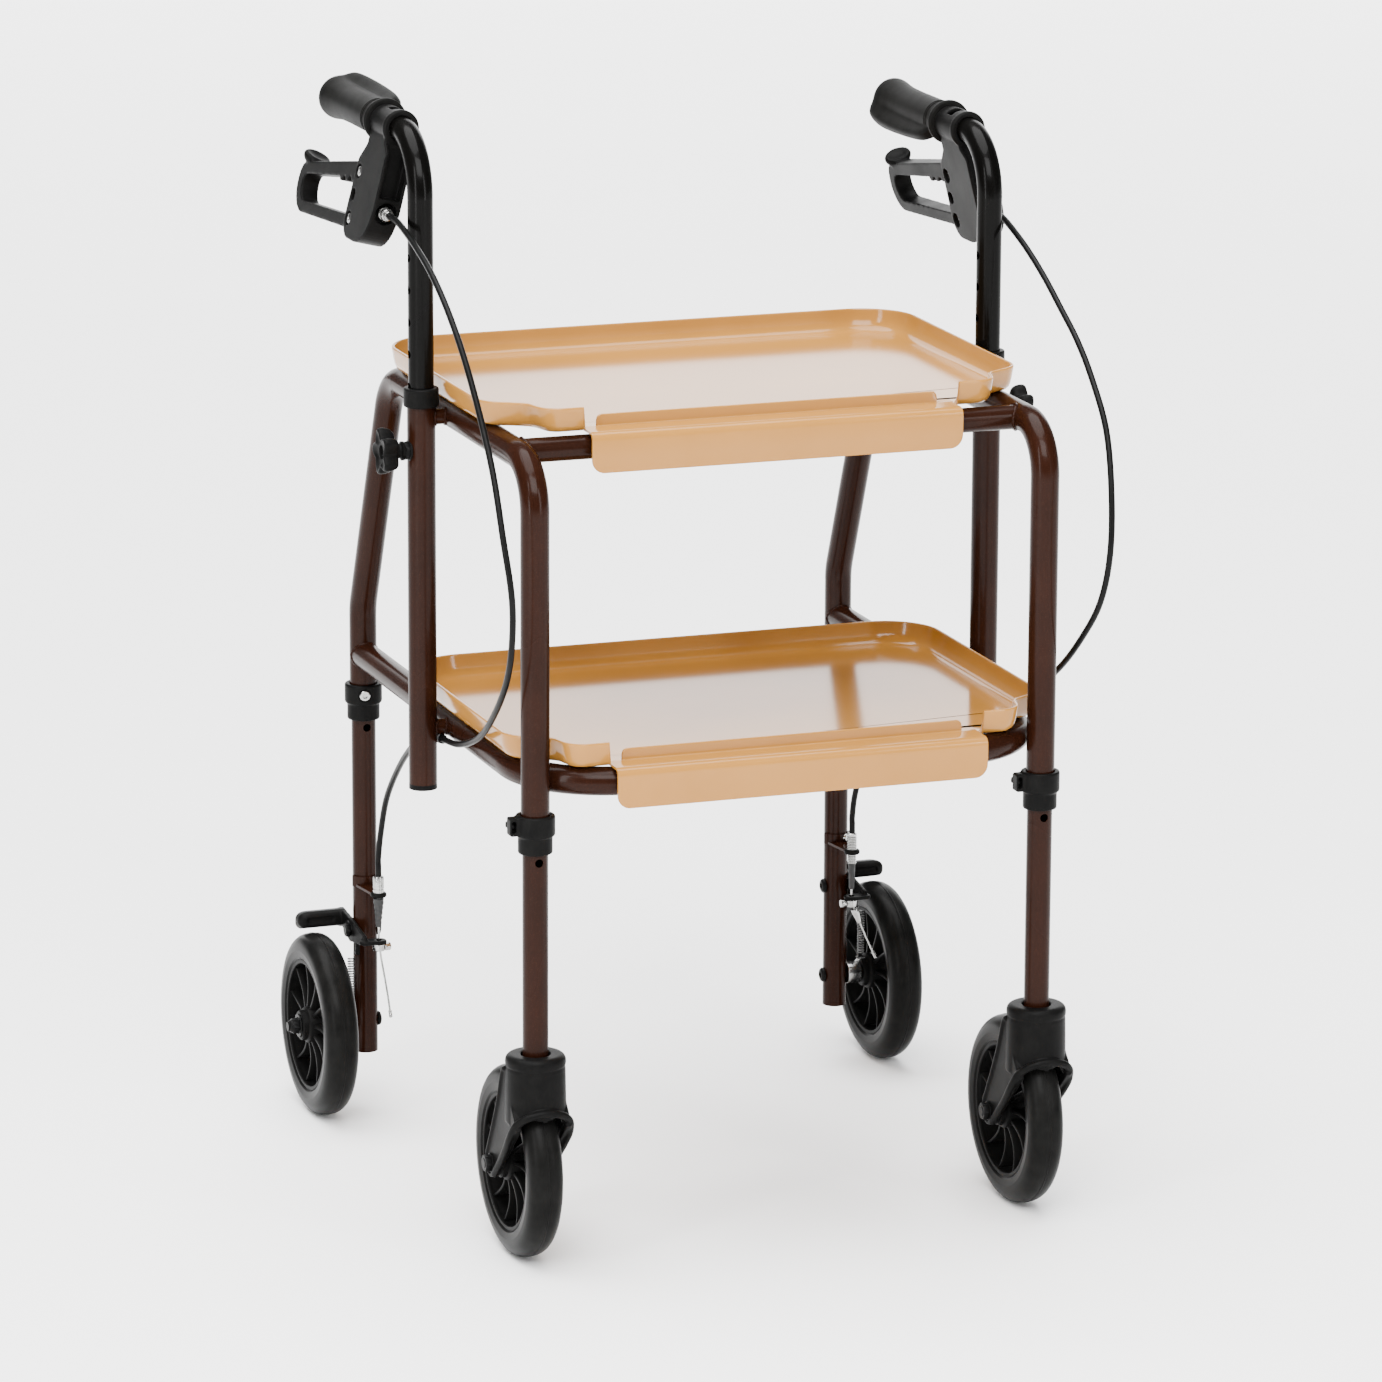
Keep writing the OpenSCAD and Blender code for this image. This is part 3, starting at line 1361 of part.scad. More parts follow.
left() caster_fork();  // caster_fork_left
right() caster_fork();  // caster_fork_right
left() caster_bolts();  // caster_bolts_left
right() caster_bolts();  // caster_bolts_right
left() at_front_wheel() wheel_rim();  // front_rim_left
right() at_front_wheel() wheel_rim();  // front_rim_right
left() at_front_wheel() wheel_tyre();  // front_tyre_left
right() at_front_wheel() wheel_tyre();  // front_tyre_right
left() rear_leg_tube();  // rear_leg_tube_left
right() rear_leg_tube();  // rear_leg_tube_right
left() cable_stop();  // cable_stop_left
right() cable_stop();  // cable_stop_right
left() rear_fittings();  // rear_fittings_left
right() rear_fittings();  // rear_fittings_right
left() return_spring();  // return_spring_left
right() return_spring();  // return_spring_right
left() at_rear_wheel() wheel_rim();  // rear_rim_left
right() at_rear_wheel() wheel_rim();  // rear_rim_right
left() at_rear_wheel() wheel_tyre();  // rear_tyre_left
right() at_rear_wheel() wheel_tyre();  // rear_tyre_right
left() brake_arm();  // brake_arm_left
right() brake_arm();  // brake_arm_right
left() pinch_bolt();  // pinch_bolt_left
right() pinch_bolt();  // pinch_bolt_right
left() brake_wire();  // brake_wire_left
right() brake_wire();  // brake_wire_right
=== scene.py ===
"""Looks of a two-tray trolley walker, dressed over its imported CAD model.

Metres in Blender, millimetres in the shapes below; +Z up, floor at z = 0, front towards -Y.
Sided shapes are drawn for the left (-X) side and mirrored for the right.
"""

from __future__ import annotations

import json
import logging
import math
from dataclasses import dataclass, field
from enum import Enum
from typing import Callable, Iterable, Sequence

import bmesh
import bpy
from mathutils import Matrix, Vector

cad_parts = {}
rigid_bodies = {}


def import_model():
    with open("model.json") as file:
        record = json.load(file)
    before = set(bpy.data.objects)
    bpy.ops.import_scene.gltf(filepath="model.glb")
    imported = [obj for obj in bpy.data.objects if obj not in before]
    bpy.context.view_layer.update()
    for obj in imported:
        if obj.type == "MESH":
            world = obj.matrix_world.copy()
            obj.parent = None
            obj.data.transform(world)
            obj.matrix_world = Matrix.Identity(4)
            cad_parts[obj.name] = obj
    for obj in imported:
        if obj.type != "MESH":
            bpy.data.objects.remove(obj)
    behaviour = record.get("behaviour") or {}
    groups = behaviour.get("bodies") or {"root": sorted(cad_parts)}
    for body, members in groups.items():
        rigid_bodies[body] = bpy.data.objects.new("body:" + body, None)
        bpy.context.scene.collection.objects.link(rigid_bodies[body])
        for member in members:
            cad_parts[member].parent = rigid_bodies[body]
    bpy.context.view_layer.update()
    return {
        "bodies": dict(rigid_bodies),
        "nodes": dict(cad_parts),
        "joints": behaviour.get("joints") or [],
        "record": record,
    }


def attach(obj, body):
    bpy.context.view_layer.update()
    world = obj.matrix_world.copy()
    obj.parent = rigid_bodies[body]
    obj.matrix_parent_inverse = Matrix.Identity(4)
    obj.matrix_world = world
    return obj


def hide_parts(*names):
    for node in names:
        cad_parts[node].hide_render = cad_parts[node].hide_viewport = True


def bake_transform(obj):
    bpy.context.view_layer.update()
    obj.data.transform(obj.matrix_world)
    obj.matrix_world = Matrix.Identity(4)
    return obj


LOG = logging.getLogger("walker")
MM = 0.001

Colour = tuple[float, float, float]
Point = Sequence[float]
Outline = list[Vector]

# Places shared with the CAD model, in millimetres
HALF_TRACK = 206.0
FRONT_Y = -230.0
REAR_Y = 210.0
POST_X = 234.5
POST_Y = -40.0
GRIP_Z = 847.0
RIGHT_DROP = 25.0
TUBE_R = 11.0
RAIL_R = 9.5
STUB_R = 6.0
TOP_RAIL_Z = 630.0
LOW_RAIL_Z = 384.0
WHEEL_R = 75.0
WHEEL_OFFSET = 39.7
TRAIL = 40.0
BRAKE_PIVOT_Z = 152.5
WIRE_Y = REAR_Y - 38.0
BRAKE_TILT = math.radians(14.0)


class Side(Enum):
    """The side of the walker that a piece belongs to."""

    LEFT = "left"
    RIGHT = "right"

    @property
    def drop(self) -> float:
        """How much lower this side's handle is set, in millimetres."""
        return RIGHT_DROP if self is Side.RIGHT else 0.0

    def at(self, x: float, y: float, z: float) -> Vector:
        """A left-side place in millimetres, mirrored for this side, in metres."""
        sign = 1.0 if self is Side.LEFT else -1.0
        return Vector((sign * x, y, z)) * MM

    def name(self, piece: str) -> str:
        """The piece's name with this side's ending."""
        return f"{piece}_{self.value}"


# Curves and outlines


def rounded(corners: Sequence[tuple[float, float, float]], steps: int = 6) -> Outline:
    """Rounds the corners of a closed outline.

    Args:
        corners: Corners as x, y and radius.
        steps: Points on each round corner, less one.

    Returns:
        The outline's points.
    """
    points: Outline = []
    count = len(corners)
    for i, (x, y, radius) in enumerate(corners):
        here = Vector((x, y))
        before = (Vector(corners[i - 1][:2]) - here).normalized()
        after = (Vector(corners[(i + 1) % count][:2]) - here).normalized()
        if radius <= 0:
            points.append(here)
            continue
        half = before.angle(after) / 2
        centre = here + (before + after).normalized() * (radius / math.sin(half))
        start = here + before * (radius / math.tan(half)) - centre
        end = here + after * (radius / math.tan(half)) - centre
        sweep = start.angle_signed(end)
        for k in range(steps + 1):
            turned = start.copy()
            turned.rotate(Matrix.Rotation(-sweep * k / steps, 2))
            points.append(centre + turned)
    return points


def inset(outline: Outline, depth: float) -> Outline:
    """Moves a counter-clockwise outline inwards.

    Args:
        outline: The outline's points.
        depth: How far each side moves.

    Returns:
        The moved points.
    """
    moved: Outline = []
    count = len(outline)
    for i, here in enumerate(outline):
        u = (here - outline[i - 1]).normalized()
        v = (outline[(i + 1) % count] - here).normalized()
        normal = Vector((-u.y - v.y, u.x + v.x)).normalized()
        reach = max(0.5, normal.dot(Vector((-u.y, u.x))))
        moved.append(here + normal * (depth / reach))
    return moved


def through(points: Sequence[Point], steps: int) -> list[Vector]:
    """A smooth curve through points.

    Args:
        points: The points that it passes.
        steps: Pieces between each two points.

    Returns:
        The curve's points.
    """
    p = [Vector(q) for q in points]
    last = len(p) - 1
    curve: list[Vector] = []
    for i in range(last):
        a, b, c, d = p[max(i - 1, 0)], p[i], p[i + 1], p[min(i + 2, last)]
        for k in range(steps):
            t = k / steps
            curve.append(
                0.5
                * (
                    2 * b
                    + (c - a) * t
                    + (2 * a - 5 * b + 4 * c - d) * t**2
                    + (3 * b - a - 3 * c + d) * t**3
                )
            )
    curve.append(p[last])
    return curve


def strap(a: Point, ra: float, b: Point, rb: float, steps: int = 18) -> Outline:
    """The outline round two discs and the band between them.

    Args:
        a: The first disc's centre.
        ra: Its radius.
        b: The second disc's centre.
        rb: Its radius.
        steps: Pieces of each round end.

    Returns:
        The outline's points.
    """
    start, end = Vector(a), Vector(b)
    way = end - start
    heading = math.atan2(way.y, way.x)
    lean = math.acos((ra - rb) / way.length)
    outline: Outline = []
    for centre, radius, first, turn in (
        (end, rb, heading - lean, 2 * lean),
        (start, ra, heading + lean, 2 * (math.pi - lean)),
    ):
        for k in range(steps + 1):
            angle = first + turn * k / steps
            outline.append(centre + radius * Vector((math.cos(angle), math.sin(angle))))
    return outline


def aim(origin: Point, direction: Point) -> Matrix:
    """The placing that turns +Z into a direction and moves the origin to a point."""
    turn = Vector((0, 0, 1)).rotation_difference(Vector(direction))
    return Matrix.Translation(Vector(origin)) @ turn.to_matrix().to_4x4()


# Shapes


@dataclass
class Shape:
    """Points in millimetres and the faces between them."""

    points: list[Vector] = field(default_factory=list)
    faces: list[tuple[int, ...]] = field(default_factory=list)

    def add(self, other: "Shape") -> "Shape":
        """Takes in another shape's points and faces.

        Args:
            other: The shape that is taken in.

        Returns:
            This shape.
        """
        start = len(self.points)
        self.points += other.points
        self.faces += [tuple(start + i for i in face) for face in other.faces]
        return self

    def moved(self, matrix: Matrix) -> "Shape":
        """A copy put through a placing.

        Args:
            matrix: The placing.

        Returns:
            The copy.
        """
        flip = matrix.determinant() < 0
        faces = [tuple(reversed(f)) for f in self.faces] if flip else list(self.faces)
        return Shape([matrix @ p for p in self.points], faces)

    def on(self, side: Side, dropped: bool = False) -> "Shape":
        """This left-side shape on a side, lowered with that side's handle if asked.

        Args:
            side: The side that it goes on.
            dropped: Whether it is lowered with that side's handle.

        Returns:
            The placed copy.
        """
        matrix = Matrix.Translation((0, 0, -side.drop if dropped else 0))
        if side is Side.RIGHT:
            matrix = matrix @ Matrix.Scale(-1, 4, (1, 0, 0))
        return self.moved(matrix)

    def build(self, name: str, material: bpy.types.Material, smooth: float = 38.0) -> bpy.types.Object:
        """Makes the Blender object.

        Args:
            name: The object's name.
            material: Its finish.
            smooth: Edges flatter than this angle, in degrees, are shaded smooth.

        Returns:
            The object, in metres.
        """
        mesh = bpy.data.meshes.new(name)
        mesh.from_pydata([p * MM for p in self.points], [], self.faces)
        work = bmesh.new()
        work.from_mesh(mesh)
        bmesh.ops.remove_doubles(work, verts=work.verts, dist=1e-7)
        bmesh.ops.dissolve_degenerate(work, edges=work.edges, dist=1e-7)
        bmesh.ops.recalc_face_normals(work, faces=work.faces)
        work.to_mesh(mesh)
        work.free()
        return dressed_object(name, mesh, material, smooth)


def dressed_object(
    name: str, mesh: bpy.types.Mesh, material: bpy.types.Material, smooth: float = 38.0
) -> bpy.types.Object:
    """Links a mesh as a smooth-shaded object with one finish.

    Args:
        name: The object's name.
        mesh: Its mesh.
        material: Its finish.
        smooth: Edges flatter than this angle, in degrees, are shaded smooth.

    Returns:
        The object.
    """
    mesh.name = name
    mesh.shade_smooth()
    mesh.set_sharp_from_angle(angle=math.radians(smooth))
    mesh.materials.clear()
    mesh.materials.append(material)
    made = bpy.data.objects.new(name, mesh)
    bpy.context.scene.collection.objects.link(made)
    return made


def loft(rings: Sequence[Sequence[Vector]], caps: bool = True, ring: bool = False) -> Shape:
    """A skin over rings of equal point count.

    Args:
        rings: The rings, each closed on itself.
        caps: Whether flat ends close the first and last ring.
        ring: Whether the last ring joins the first.

    Returns:
        The skin.
    """
    n = len(rings[0])
    count = len(rings)
    shape = Shape([p for points in rings for p in points])
    for i in range(count if ring else count - 1):
        a, b = i * n, (i + 1) % count * n
        shape.faces += [(a + j, a + (j + 1) % n, b + (j + 1) % n, b + j) for j in range(n)]
    if caps and not ring:
        shape.faces.append(tuple(reversed(range(n))))
        shape.faces.append(tuple((count - 1) * n + j for j in range(n)))
    return shape


def revolve(profile: Sequence[Point], segments: int = 48, closed: bool = False) -> Shape:
    """Turns a profile of radius and height round +Z.

    Args:
        profile: Radius and height of each point.
        segments: Sides of the round.
        closed: Whether the profile's last point joins its first.

    Returns:
        The turned shape.
    """
    rings = [
        [
            Vector((r * math.cos(a), r * math.sin(a), h))
            for a in (2 * math.pi * k / segments for k in range(segments))
        ]
        for r, h in profile
    ]
    return loft(rings, caps=not closed, ring=closed)


def plate(outline: Iterable[Point], low: float, high: float) -> Shape:
    """A y and z outline made thick along X."""
    points = list(outline)
    return loft([[Vector((x, p[0], p[1])) for p in points] for x in (low, high)])


def block(low: Point, high: Point) -> Shape:
    """A box between two corners."""
    (x0, y0, z0), (x1, y1, z1) = low, high
    return plate([(y0, z0), (y1, z0), (y1, z1), (y0, z1)], x0, x1)


def rod(radius: float, low: float, high: float, edge: float = 0.4, segments: int = 32) -> Shape:
    """A round bar along +Z with chamfered ends."""
    wall = [(radius - edge, low), (radius, low + edge), (radius, high - edge), (radius - edge, high)]
    return revolve([(0, low), *wall, (0, high)], segments)


def hex_head(across: float, low: float, high: float, edge: float = 0.5) -> Shape:
    """A hexagon head or nut along +Z with turned corners.

    Args:
        across: Distance over the corners.
        low: Lower end.
        high: Upper end.
        edge: Depth of the turned corners.

    Returns:
        The head.
    """
    sides, per = 6, 4
    flat = across / 2 * math.cos(math.pi / sides)
    rings = []
    for height, cap in ((low, flat), (low + edge, across), (high - edge, across), (high, flat)):
        ring = []
        for k in range(sides * per):
            a = 2 * math.pi * k / (sides * per)
            inside = (a + math.pi / sides) % (2 * math.pi / sides) - math.pi / sides
            reach = min(flat / math.cos(inside), cap)
            ring.append(Vector((reach * math.cos(a), reach * math.sin(a), height)))
        rings.append(ring)
    return loft(rings)


def sweep(path: Sequence[Vector], radius: float | Callable[[int], float], sides: int = 12) -> Shape:
    """A round tube along a path, with flat ends.

    Args:
        path: The centre line.
        radius: The tube's radius, or a function of the point's number.
        sides: Sides of the round.

    Returns:
        The tube.
    """
    size = radius if callable(radius) else (lambda _: radius)
    last = len(path) - 1
    tangents = [(path[min(i + 1, last)] - path[max(i - 1, 0)]).normalized() for i in range(last + 1)]
    start = tangents[0]
    across = start.cross(Vector((1, 0, 0)) if abs(start.x) < 0.9 else Vector((0, 0, 1))).normalized()
    rings = []
    for i, tangent in enumerate(tangents):
        if i:
            across = tangents[i - 1].rotation_difference(tangent) @ across
        across = (across - across.dot(tangent) * tangent).normalized()
        other = tangent.cross(across)
        rings.append(
            [
                path[i] + size(i) * (math.cos(a) * across + math.sin(a) * other)
                for a in (2 * math.pi * k / sides for k in range(sides))
            ]
        )
    return loft(rings)


# Finishes


class Value:
    """A shader socket that takes part in Python arithmetic."""

    def __init__(self, recipe: "Recipe", socket: bpy.types.NodeSocket) -> None:
        """Wraps a socket of a recipe's node tree."""
        self.recipe = recipe
        self.socket = socket

    def _math(self, operation: str, first: "Value | float", second: "Value | float") -> "Value":
        """One Math node on two values."""
        return self.recipe.node("ShaderNodeMath", {"operation": operation}, {0: first, 1: second})

    def __add__(self, other: "Value | float") -> "Value":
        """This value plus another."""
        return self._math("ADD", self, other)

    __radd__ = __add__

    def __sub__(self, other: "Value | float") -> "Value":
        """This value less another."""
        return self._math("SUBTRACT", self, other)

    def __rsub__(self, other: float) -> "Value":
        """A number less this value."""
        return self._math("SUBTRACT", other, self)

    def __mul__(self, other: "Value | float") -> "Value":
        """This value times another."""
        return self._math("MULTIPLY", self, other)

    __rmul__ = __mul__


class Recipe:
    """A material's node tree, filled by code."""

    def __init__(self, name: str) -> None:
        """Starts a material with an empty tree and a Principled shader.

        Args:
            name: The material's name.
        """
        self.material = bpy.data.materials.new(name)
        self.material.use_nodes = True
        self.tree = self.material.node_tree
        self.tree.nodes.clear()
        output = self.tree.nodes.new("ShaderNodeOutputMaterial")
        self.shader = self.tree.nodes.new("ShaderNodeBsdfPrincipled")
        self.tree.links.new(self.shader.outputs[0], output.inputs["Surface"])

    def node(
        self, kind: str, settings: dict[str, object], inputs: dict[int | str, object], output: int | str = 0
    ) -> Value:
        """Adds one node.

        Args:
            kind: The node's type.
            settings: Its properties; a ramp's stops go under "stops".
            inputs: Values, or links as Value, by socket.
            output: The socket to hand on.

        Returns:
            That socket, wrapped.
        """
        made = self.tree.nodes.new(kind)
        for key, setting in settings.items():
            if key == "stops":
                self._set_stops(made.color_ramp, setting)
            else:
                setattr(made, key, setting)
        for key, value in inputs.items():
            self.feed(made.inputs[key], value)
        return Value(self, made.outputs[output])

    @staticmethod
    def _set_stops(ramp: bpy.types.ColorRamp, stops: Sequence[tuple[float, float]]) -> None:
        """Sets a ramp's grey stops as place and brightness.

        Args:
            ramp: The ramp.
            stops: Place and brightness of each stop.
        """
        while len(ramp.elements) < len(stops):
            ramp.elements.new(1.0)
        for element, (place, grey) in zip(ramp.elements, stops):
            element.position = place
            element.color = (grey, grey, grey, 1.0)

    def feed(self, socket: bpy.types.NodeSocket, value: object) -> None:
        """Links a Value to a socket, or sets a plain number, colour or vector on it.

        Args:
            socket: The socket.
            value: A Value, or a plain number, colour or vector.
        """
        if isinstance(value, Value):
            self.tree.links.new(value.socket, socket)
        elif isinstance(value, tuple) and len(value) == 3 and socket.type == "RGBA":
            socket.default_value = (*value, 1.0)
        else:
            socket.default_value = value

    def place(self) -> Value:
        """The object's own coordinates."""
        return self.node("ShaderNodeTexCoord", {}, {}, "Object")

    def noise(
        self, scale: float, detail: float = 3.0, rough: float = 0.55, stretch: Point | None = None
    ) -> Value:
        """Fractal noise over the object.

        Args:
            scale: Blobs per metre.
            detail: Octaves.
            rough: Weight of the finer octaves.
            stretch: Scale along each axis, where it isn't even.

        Returns:
            The noise, about 0 to 1.
        """
        where = self.place()
        if stretch is not None:
            where = self.node("ShaderNodeMapping", {}, {"Vector": where, "Scale": tuple(stretch)})
        return self.node(
            "ShaderNodeTexNoise", {}, {"Vector": where, "Scale": scale, "Detail": detail, "Roughness": rough}
        )

    def ramp(self, value: Value, *stops: tuple[float, float]) -> Value:
        """A value sent through grey stops."""
        return self.node("ShaderNodeValToRGB", {"stops": stops}, {0: value})

    def mix(self, share: Value, first: Colour | Value, second: Colour | Value) -> Value:
        """Two colours mixed by a share."""
        return self.node("ShaderNodeMix", {"data_type": "RGBA"}, {0: share, 6: first, 7: second}, 2)

    def bump(self, height: Value, depth: float, strength: float = 1.0) -> Value:
        """A normal from a height.

        Args:
            height: The height, about 0 to 1.
            depth: Its depth in metres.
            strength: Share of the effect.

        Returns:
            The normal.
        """
        return self.node("ShaderNodeBump", {}, {"Height": height, "Distance": depth, "Strength": strength}, 0)

    def set(self, **sockets: object) -> None:
        """Feeds the Principled shader's sockets; an underscore in a name stands for a space."""
        for name, value in sockets.items():
            self.feed(self.shader.inputs[name.replace("_", " ")], value)


@dataclass(frozen=True)
class Finish:
    """A surface with a mottled colour, uneven gloss and a fine grain."""

    name: str
    dark: Colour
    light: Colour
    gloss: tuple[float, float]
    mottle: float = 60.0
    grain: float = 2200.0
    grain_depth: float = 0.00002
    metallic: float = 0.0
    coat: float = 0.0
    coat_roughness: float = 0.08
    specular: float = 0.5
    stretch: tuple[float, float, float] | None = None

    def make(self) -> bpy.types.Material:
        """Builds the material.

        Returns:
            The material.
        """
        recipe = Recipe(self.name)
        blotch = recipe.noise(self.mottle, 4.0, 0.6, self.stretch)
        share = recipe.ramp(blotch, (0.3, 0.0), (0.7, 1.0))
        smear = recipe.noise(self.mottle * 0.35, 2.0, 0.5, self.stretch)
        low, high = self.gloss
        recipe.set(
            Base_Color=recipe.mix(share, self.dark, self.light),
            Roughness=low + (high - low) * smear,
            Metallic=self.metallic,
            Coat_Weight=self.coat,
            Coat_Roughness=self.coat_roughness,
            Specular_IOR_Level=self.specular,
            Normal=recipe.bump(recipe.noise(self.grain, 2.0, 0.5, self.stretch), self.grain_depth),
        )
        self.extra(recipe, share)
        return recipe.material

    def extra(self, recipe: Recipe, share: Value) -> None:
        """Adds what only some finishes have."""


@dataclass(frozen=True)
class FlakePaint(Finish):
    """A glossy paint with metal flakes under a clear coat."""

    flake: Colour = (0.05, 0.019, 0.011)
    flakes_per_metre: float = 2600.0

    def extra(self, recipe: Recipe, share: Value) -> None:
        """Scatters bright flakes in the colour coat.

        Args:
            recipe: The material's recipe.
            share: Share of the light colour.
        """
        cells = recipe.node(
            "ShaderNodeTexVoronoi",
            {"feature": "F1"},
            {"Vector": recipe.place(), "Scale": self.flakes_per_metre},
            "Color",
        )
        bright = recipe.ramp(cells, (0.74, 0.0), (0.97, 0.4))
        body = recipe.mix(share, self.dark, self.light)
        recipe.set(Base_Color=recipe.mix(bright, body, self.flake))


@dataclass(frozen=True)
class TreadRubber(Finish):
    """Soft rubber with a slight bloom that dulls it in patches."""

    bloom: Colour = (0.0085, 0.0084, 0.008)

    def extra(self, recipe: Recipe, share: Value) -> None:
        """Lays the dull bloom over the colour.

        Args:
            recipe: The material's recipe.
            share: Share of the light colour.
        """
        patches = recipe.ramp(recipe.noise(34.0, 5.0, 0.65), (0.5, 0.0), (0.8, 0.7))
        body = recipe.mix(share, self.dark, self.light)
        recipe.set(Base_Color=recipe.mix(patches, body, self.bloom))


@dataclass(frozen=True)
class Palette:
    """Every finish on the walker, made once."""

    paint: bpy.types.Material
    plastic: bpy.types.Material
    grip: bpy.types.Material
    tube: bpy.types.Material
    tray: bpy.types.Material
    zinc: bpy.types.Material
    dark_bolt: bpy.types.Material
    cable: bpy.types.Material
    tyre: bpy.types.Material
    boot: bpy.types.Material
    spring: bpy.types.Material

    @classmethod
    def mix_all(cls) -> "Palette":
        """Makes the materials.

        Returns:
            The palette.
        """
        return cls(
            paint=FlakePaint(
                "brown_flake_paint", (0.0100, 0.0029, 0.0013), (0.0145, 0.0043, 0.0020), (0.2, 0.32),
                mottle=22.0, grain=900.0, grain_depth=0.000012, specular=0.045, coat=0.05,
            ).make(),
            plastic=Finish(
                "satin_black_moulding", (0.0028, 0.0028, 0.0028), (0.0048, 0.0047, 0.0045), (0.34, 0.5),
                mottle=90.0, grain=2600.0, grain_depth=0.00004, specular=0.03,
            ).make(),
            grip=Finish(
                "grip_moulding", (0.0036, 0.0036, 0.0034), (0.0062, 0.0061, 0.0057), (0.42, 0.58),
                mottle=120.0, grain=1900.0, grain_depth=0.00007, specular=0.03,
            ).make(),
            tube=Finish(
                "gloss_black_enamel", (0.0011, 0.0010, 0.0009), (0.0018, 0.0017, 0.0015), (0.22, 0.32),
                mottle=18.0, grain=700.0, grain_depth=0.000008, specular=0.035, coat=0.05,
            ).make(),
            tray=Finish(
                "tan_tray_moulding", (0.30, 0.133, 0.023), (0.335, 0.149, 0.028), (0.10, 0.15),
                mottle=9.0, grain=160.0, grain_depth=0.000004, specular=0.25,
            ).make(),
            zinc=Finish(
                "bright_zinc", (0.26, 0.26, 0.255), (0.42, 0.42, 0.41), (0.16, 0.3),
                mottle=260.0, grain=3000.0, grain_depth=0.00002, metallic=1.0,
            ).make(),
            dark_bolt=Finish(
                "black_oxide", (0.003, 0.003, 0.003), (0.006, 0.006, 0.006), (0.26, 0.42),
                mottle=240.0, grain=2400.0, specular=0.04,
            ).make(),
            cable=Finish(
                "cable_sheath", (0.0025, 0.0025, 0.0025), (0.0045, 0.0045, 0.0045), (0.26, 0.4),
                mottle=70.0, grain=1500.0, grain_depth=0.000015, specular=0.06,
            ).make(),
            tyre=TreadRubber(
                "tread_rubber", (0.003, 0.003, 0.0029), (0.0055, 0.0054, 0.0051), (0.28, 0.4),
                mottle=80.0, grain=1700.0, grain_depth=0.00003, specular=0.035,
            ).make(),
            boot=Finish(
                "grey_boot", (0.022, 0.0225, 0.023), (0.036, 0.0365, 0.037), (0.3, 0.45),
                mottle=200.0, grain=2200.0, specular=0.1,
            ).make(),
            spring=Finish(
                "spring_steel", (0.10, 0.10, 0.10), (0.19, 0.19, 0.185), (0.22, 0.36),
                mottle=300.0, grain=3000.0, metallic=1.0,
            ).make(),
        )


# Pieces


def brake_frame() -> Matrix:
    """The left brake's tilted frame about the grip's axis."""
    return Matrix.Translation((-POST_X, 0, GRIP_Z)) @ Matrix.Rotation(BRAKE_TILT, 4, "Y")


def settle(piece: bpy.types.Object, body: str, slot: str, *nodes: str) -> bpy.types.Object:
    """Rides a piece on its body and hides the CAD nodes that it stands for.

    Args:
        piece: The piece, in place.
        body: Its CAD body.
        slot: Its material slot in the record; not used.
        nodes: The CAD nodes that it replaces.

    Returns:
        The piece.
    """
    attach(piece, body)
    if nodes:
        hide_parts(*nodes)
    LOG.info("%s rides on %s", piece.name, body)
    return piece


@dataclass(frozen=True)
class Moulding:
    """A plastic piece with the soft edges of a moulding, grown from forms that run into each other."""

    node: str
    body: str
    voxel: float
    rounds: int
    slot: str = "black_plastic"
    keep: float = 0.45

    def skin(self, work: bpy.types.Object) -> None:
        """Joins a work piece's forms into one skin.

        Args:
            work: The work piece.
        """
        skin = work.modifiers.new("skin", "REMESH")
        skin.mode = "VOXEL"
        skin.voxel_size = self.voxel * MM

    def make(
        self, forms: Shape, material: bpy.types.Material, hollows: Shape | None = None
    ) -> bpy.types.Object:
        """Grows the piece.

        Args:
            forms: The closed forms that it is made of.
            material: Its finish.
            hollows: The closed forms that are cut out of it.

        Returns:
            The piece that stands for the node.
        """
        work = forms.build("work", material)
        spent = [work]
        self.skin(work)
        if hollows is not None:
            tool = hollows.build("hollow", material)
            spent.append(tool)
            self.skin(tool)
            cut = work.modifiers.new("cut", "BOOLEAN")
            cut.operation, cut.solver, cut.object = "DIFFERENCE", "EXACT", tool
            self.skin(work)
        soft = work.modifiers.new("soft", "SMOOTH")
        soft.factor = 0.5
        soft.iterations = self.rounds
        thin = work.modifiers.new("thin", "DECIMATE")
        thin.ratio = self.keep
        graph = bpy.context.evaluated_depsgraph_get()
        mesh = bpy.data.meshes.new_from_object(work.evaluated_get(graph))
        for done in spent:
            bpy.data.objects.remove(done)
        piece = dressed_object(f"{self.node}_moulding", mesh, material, 50.0)
        return settle(piece, self.body, self.slot, self.node)


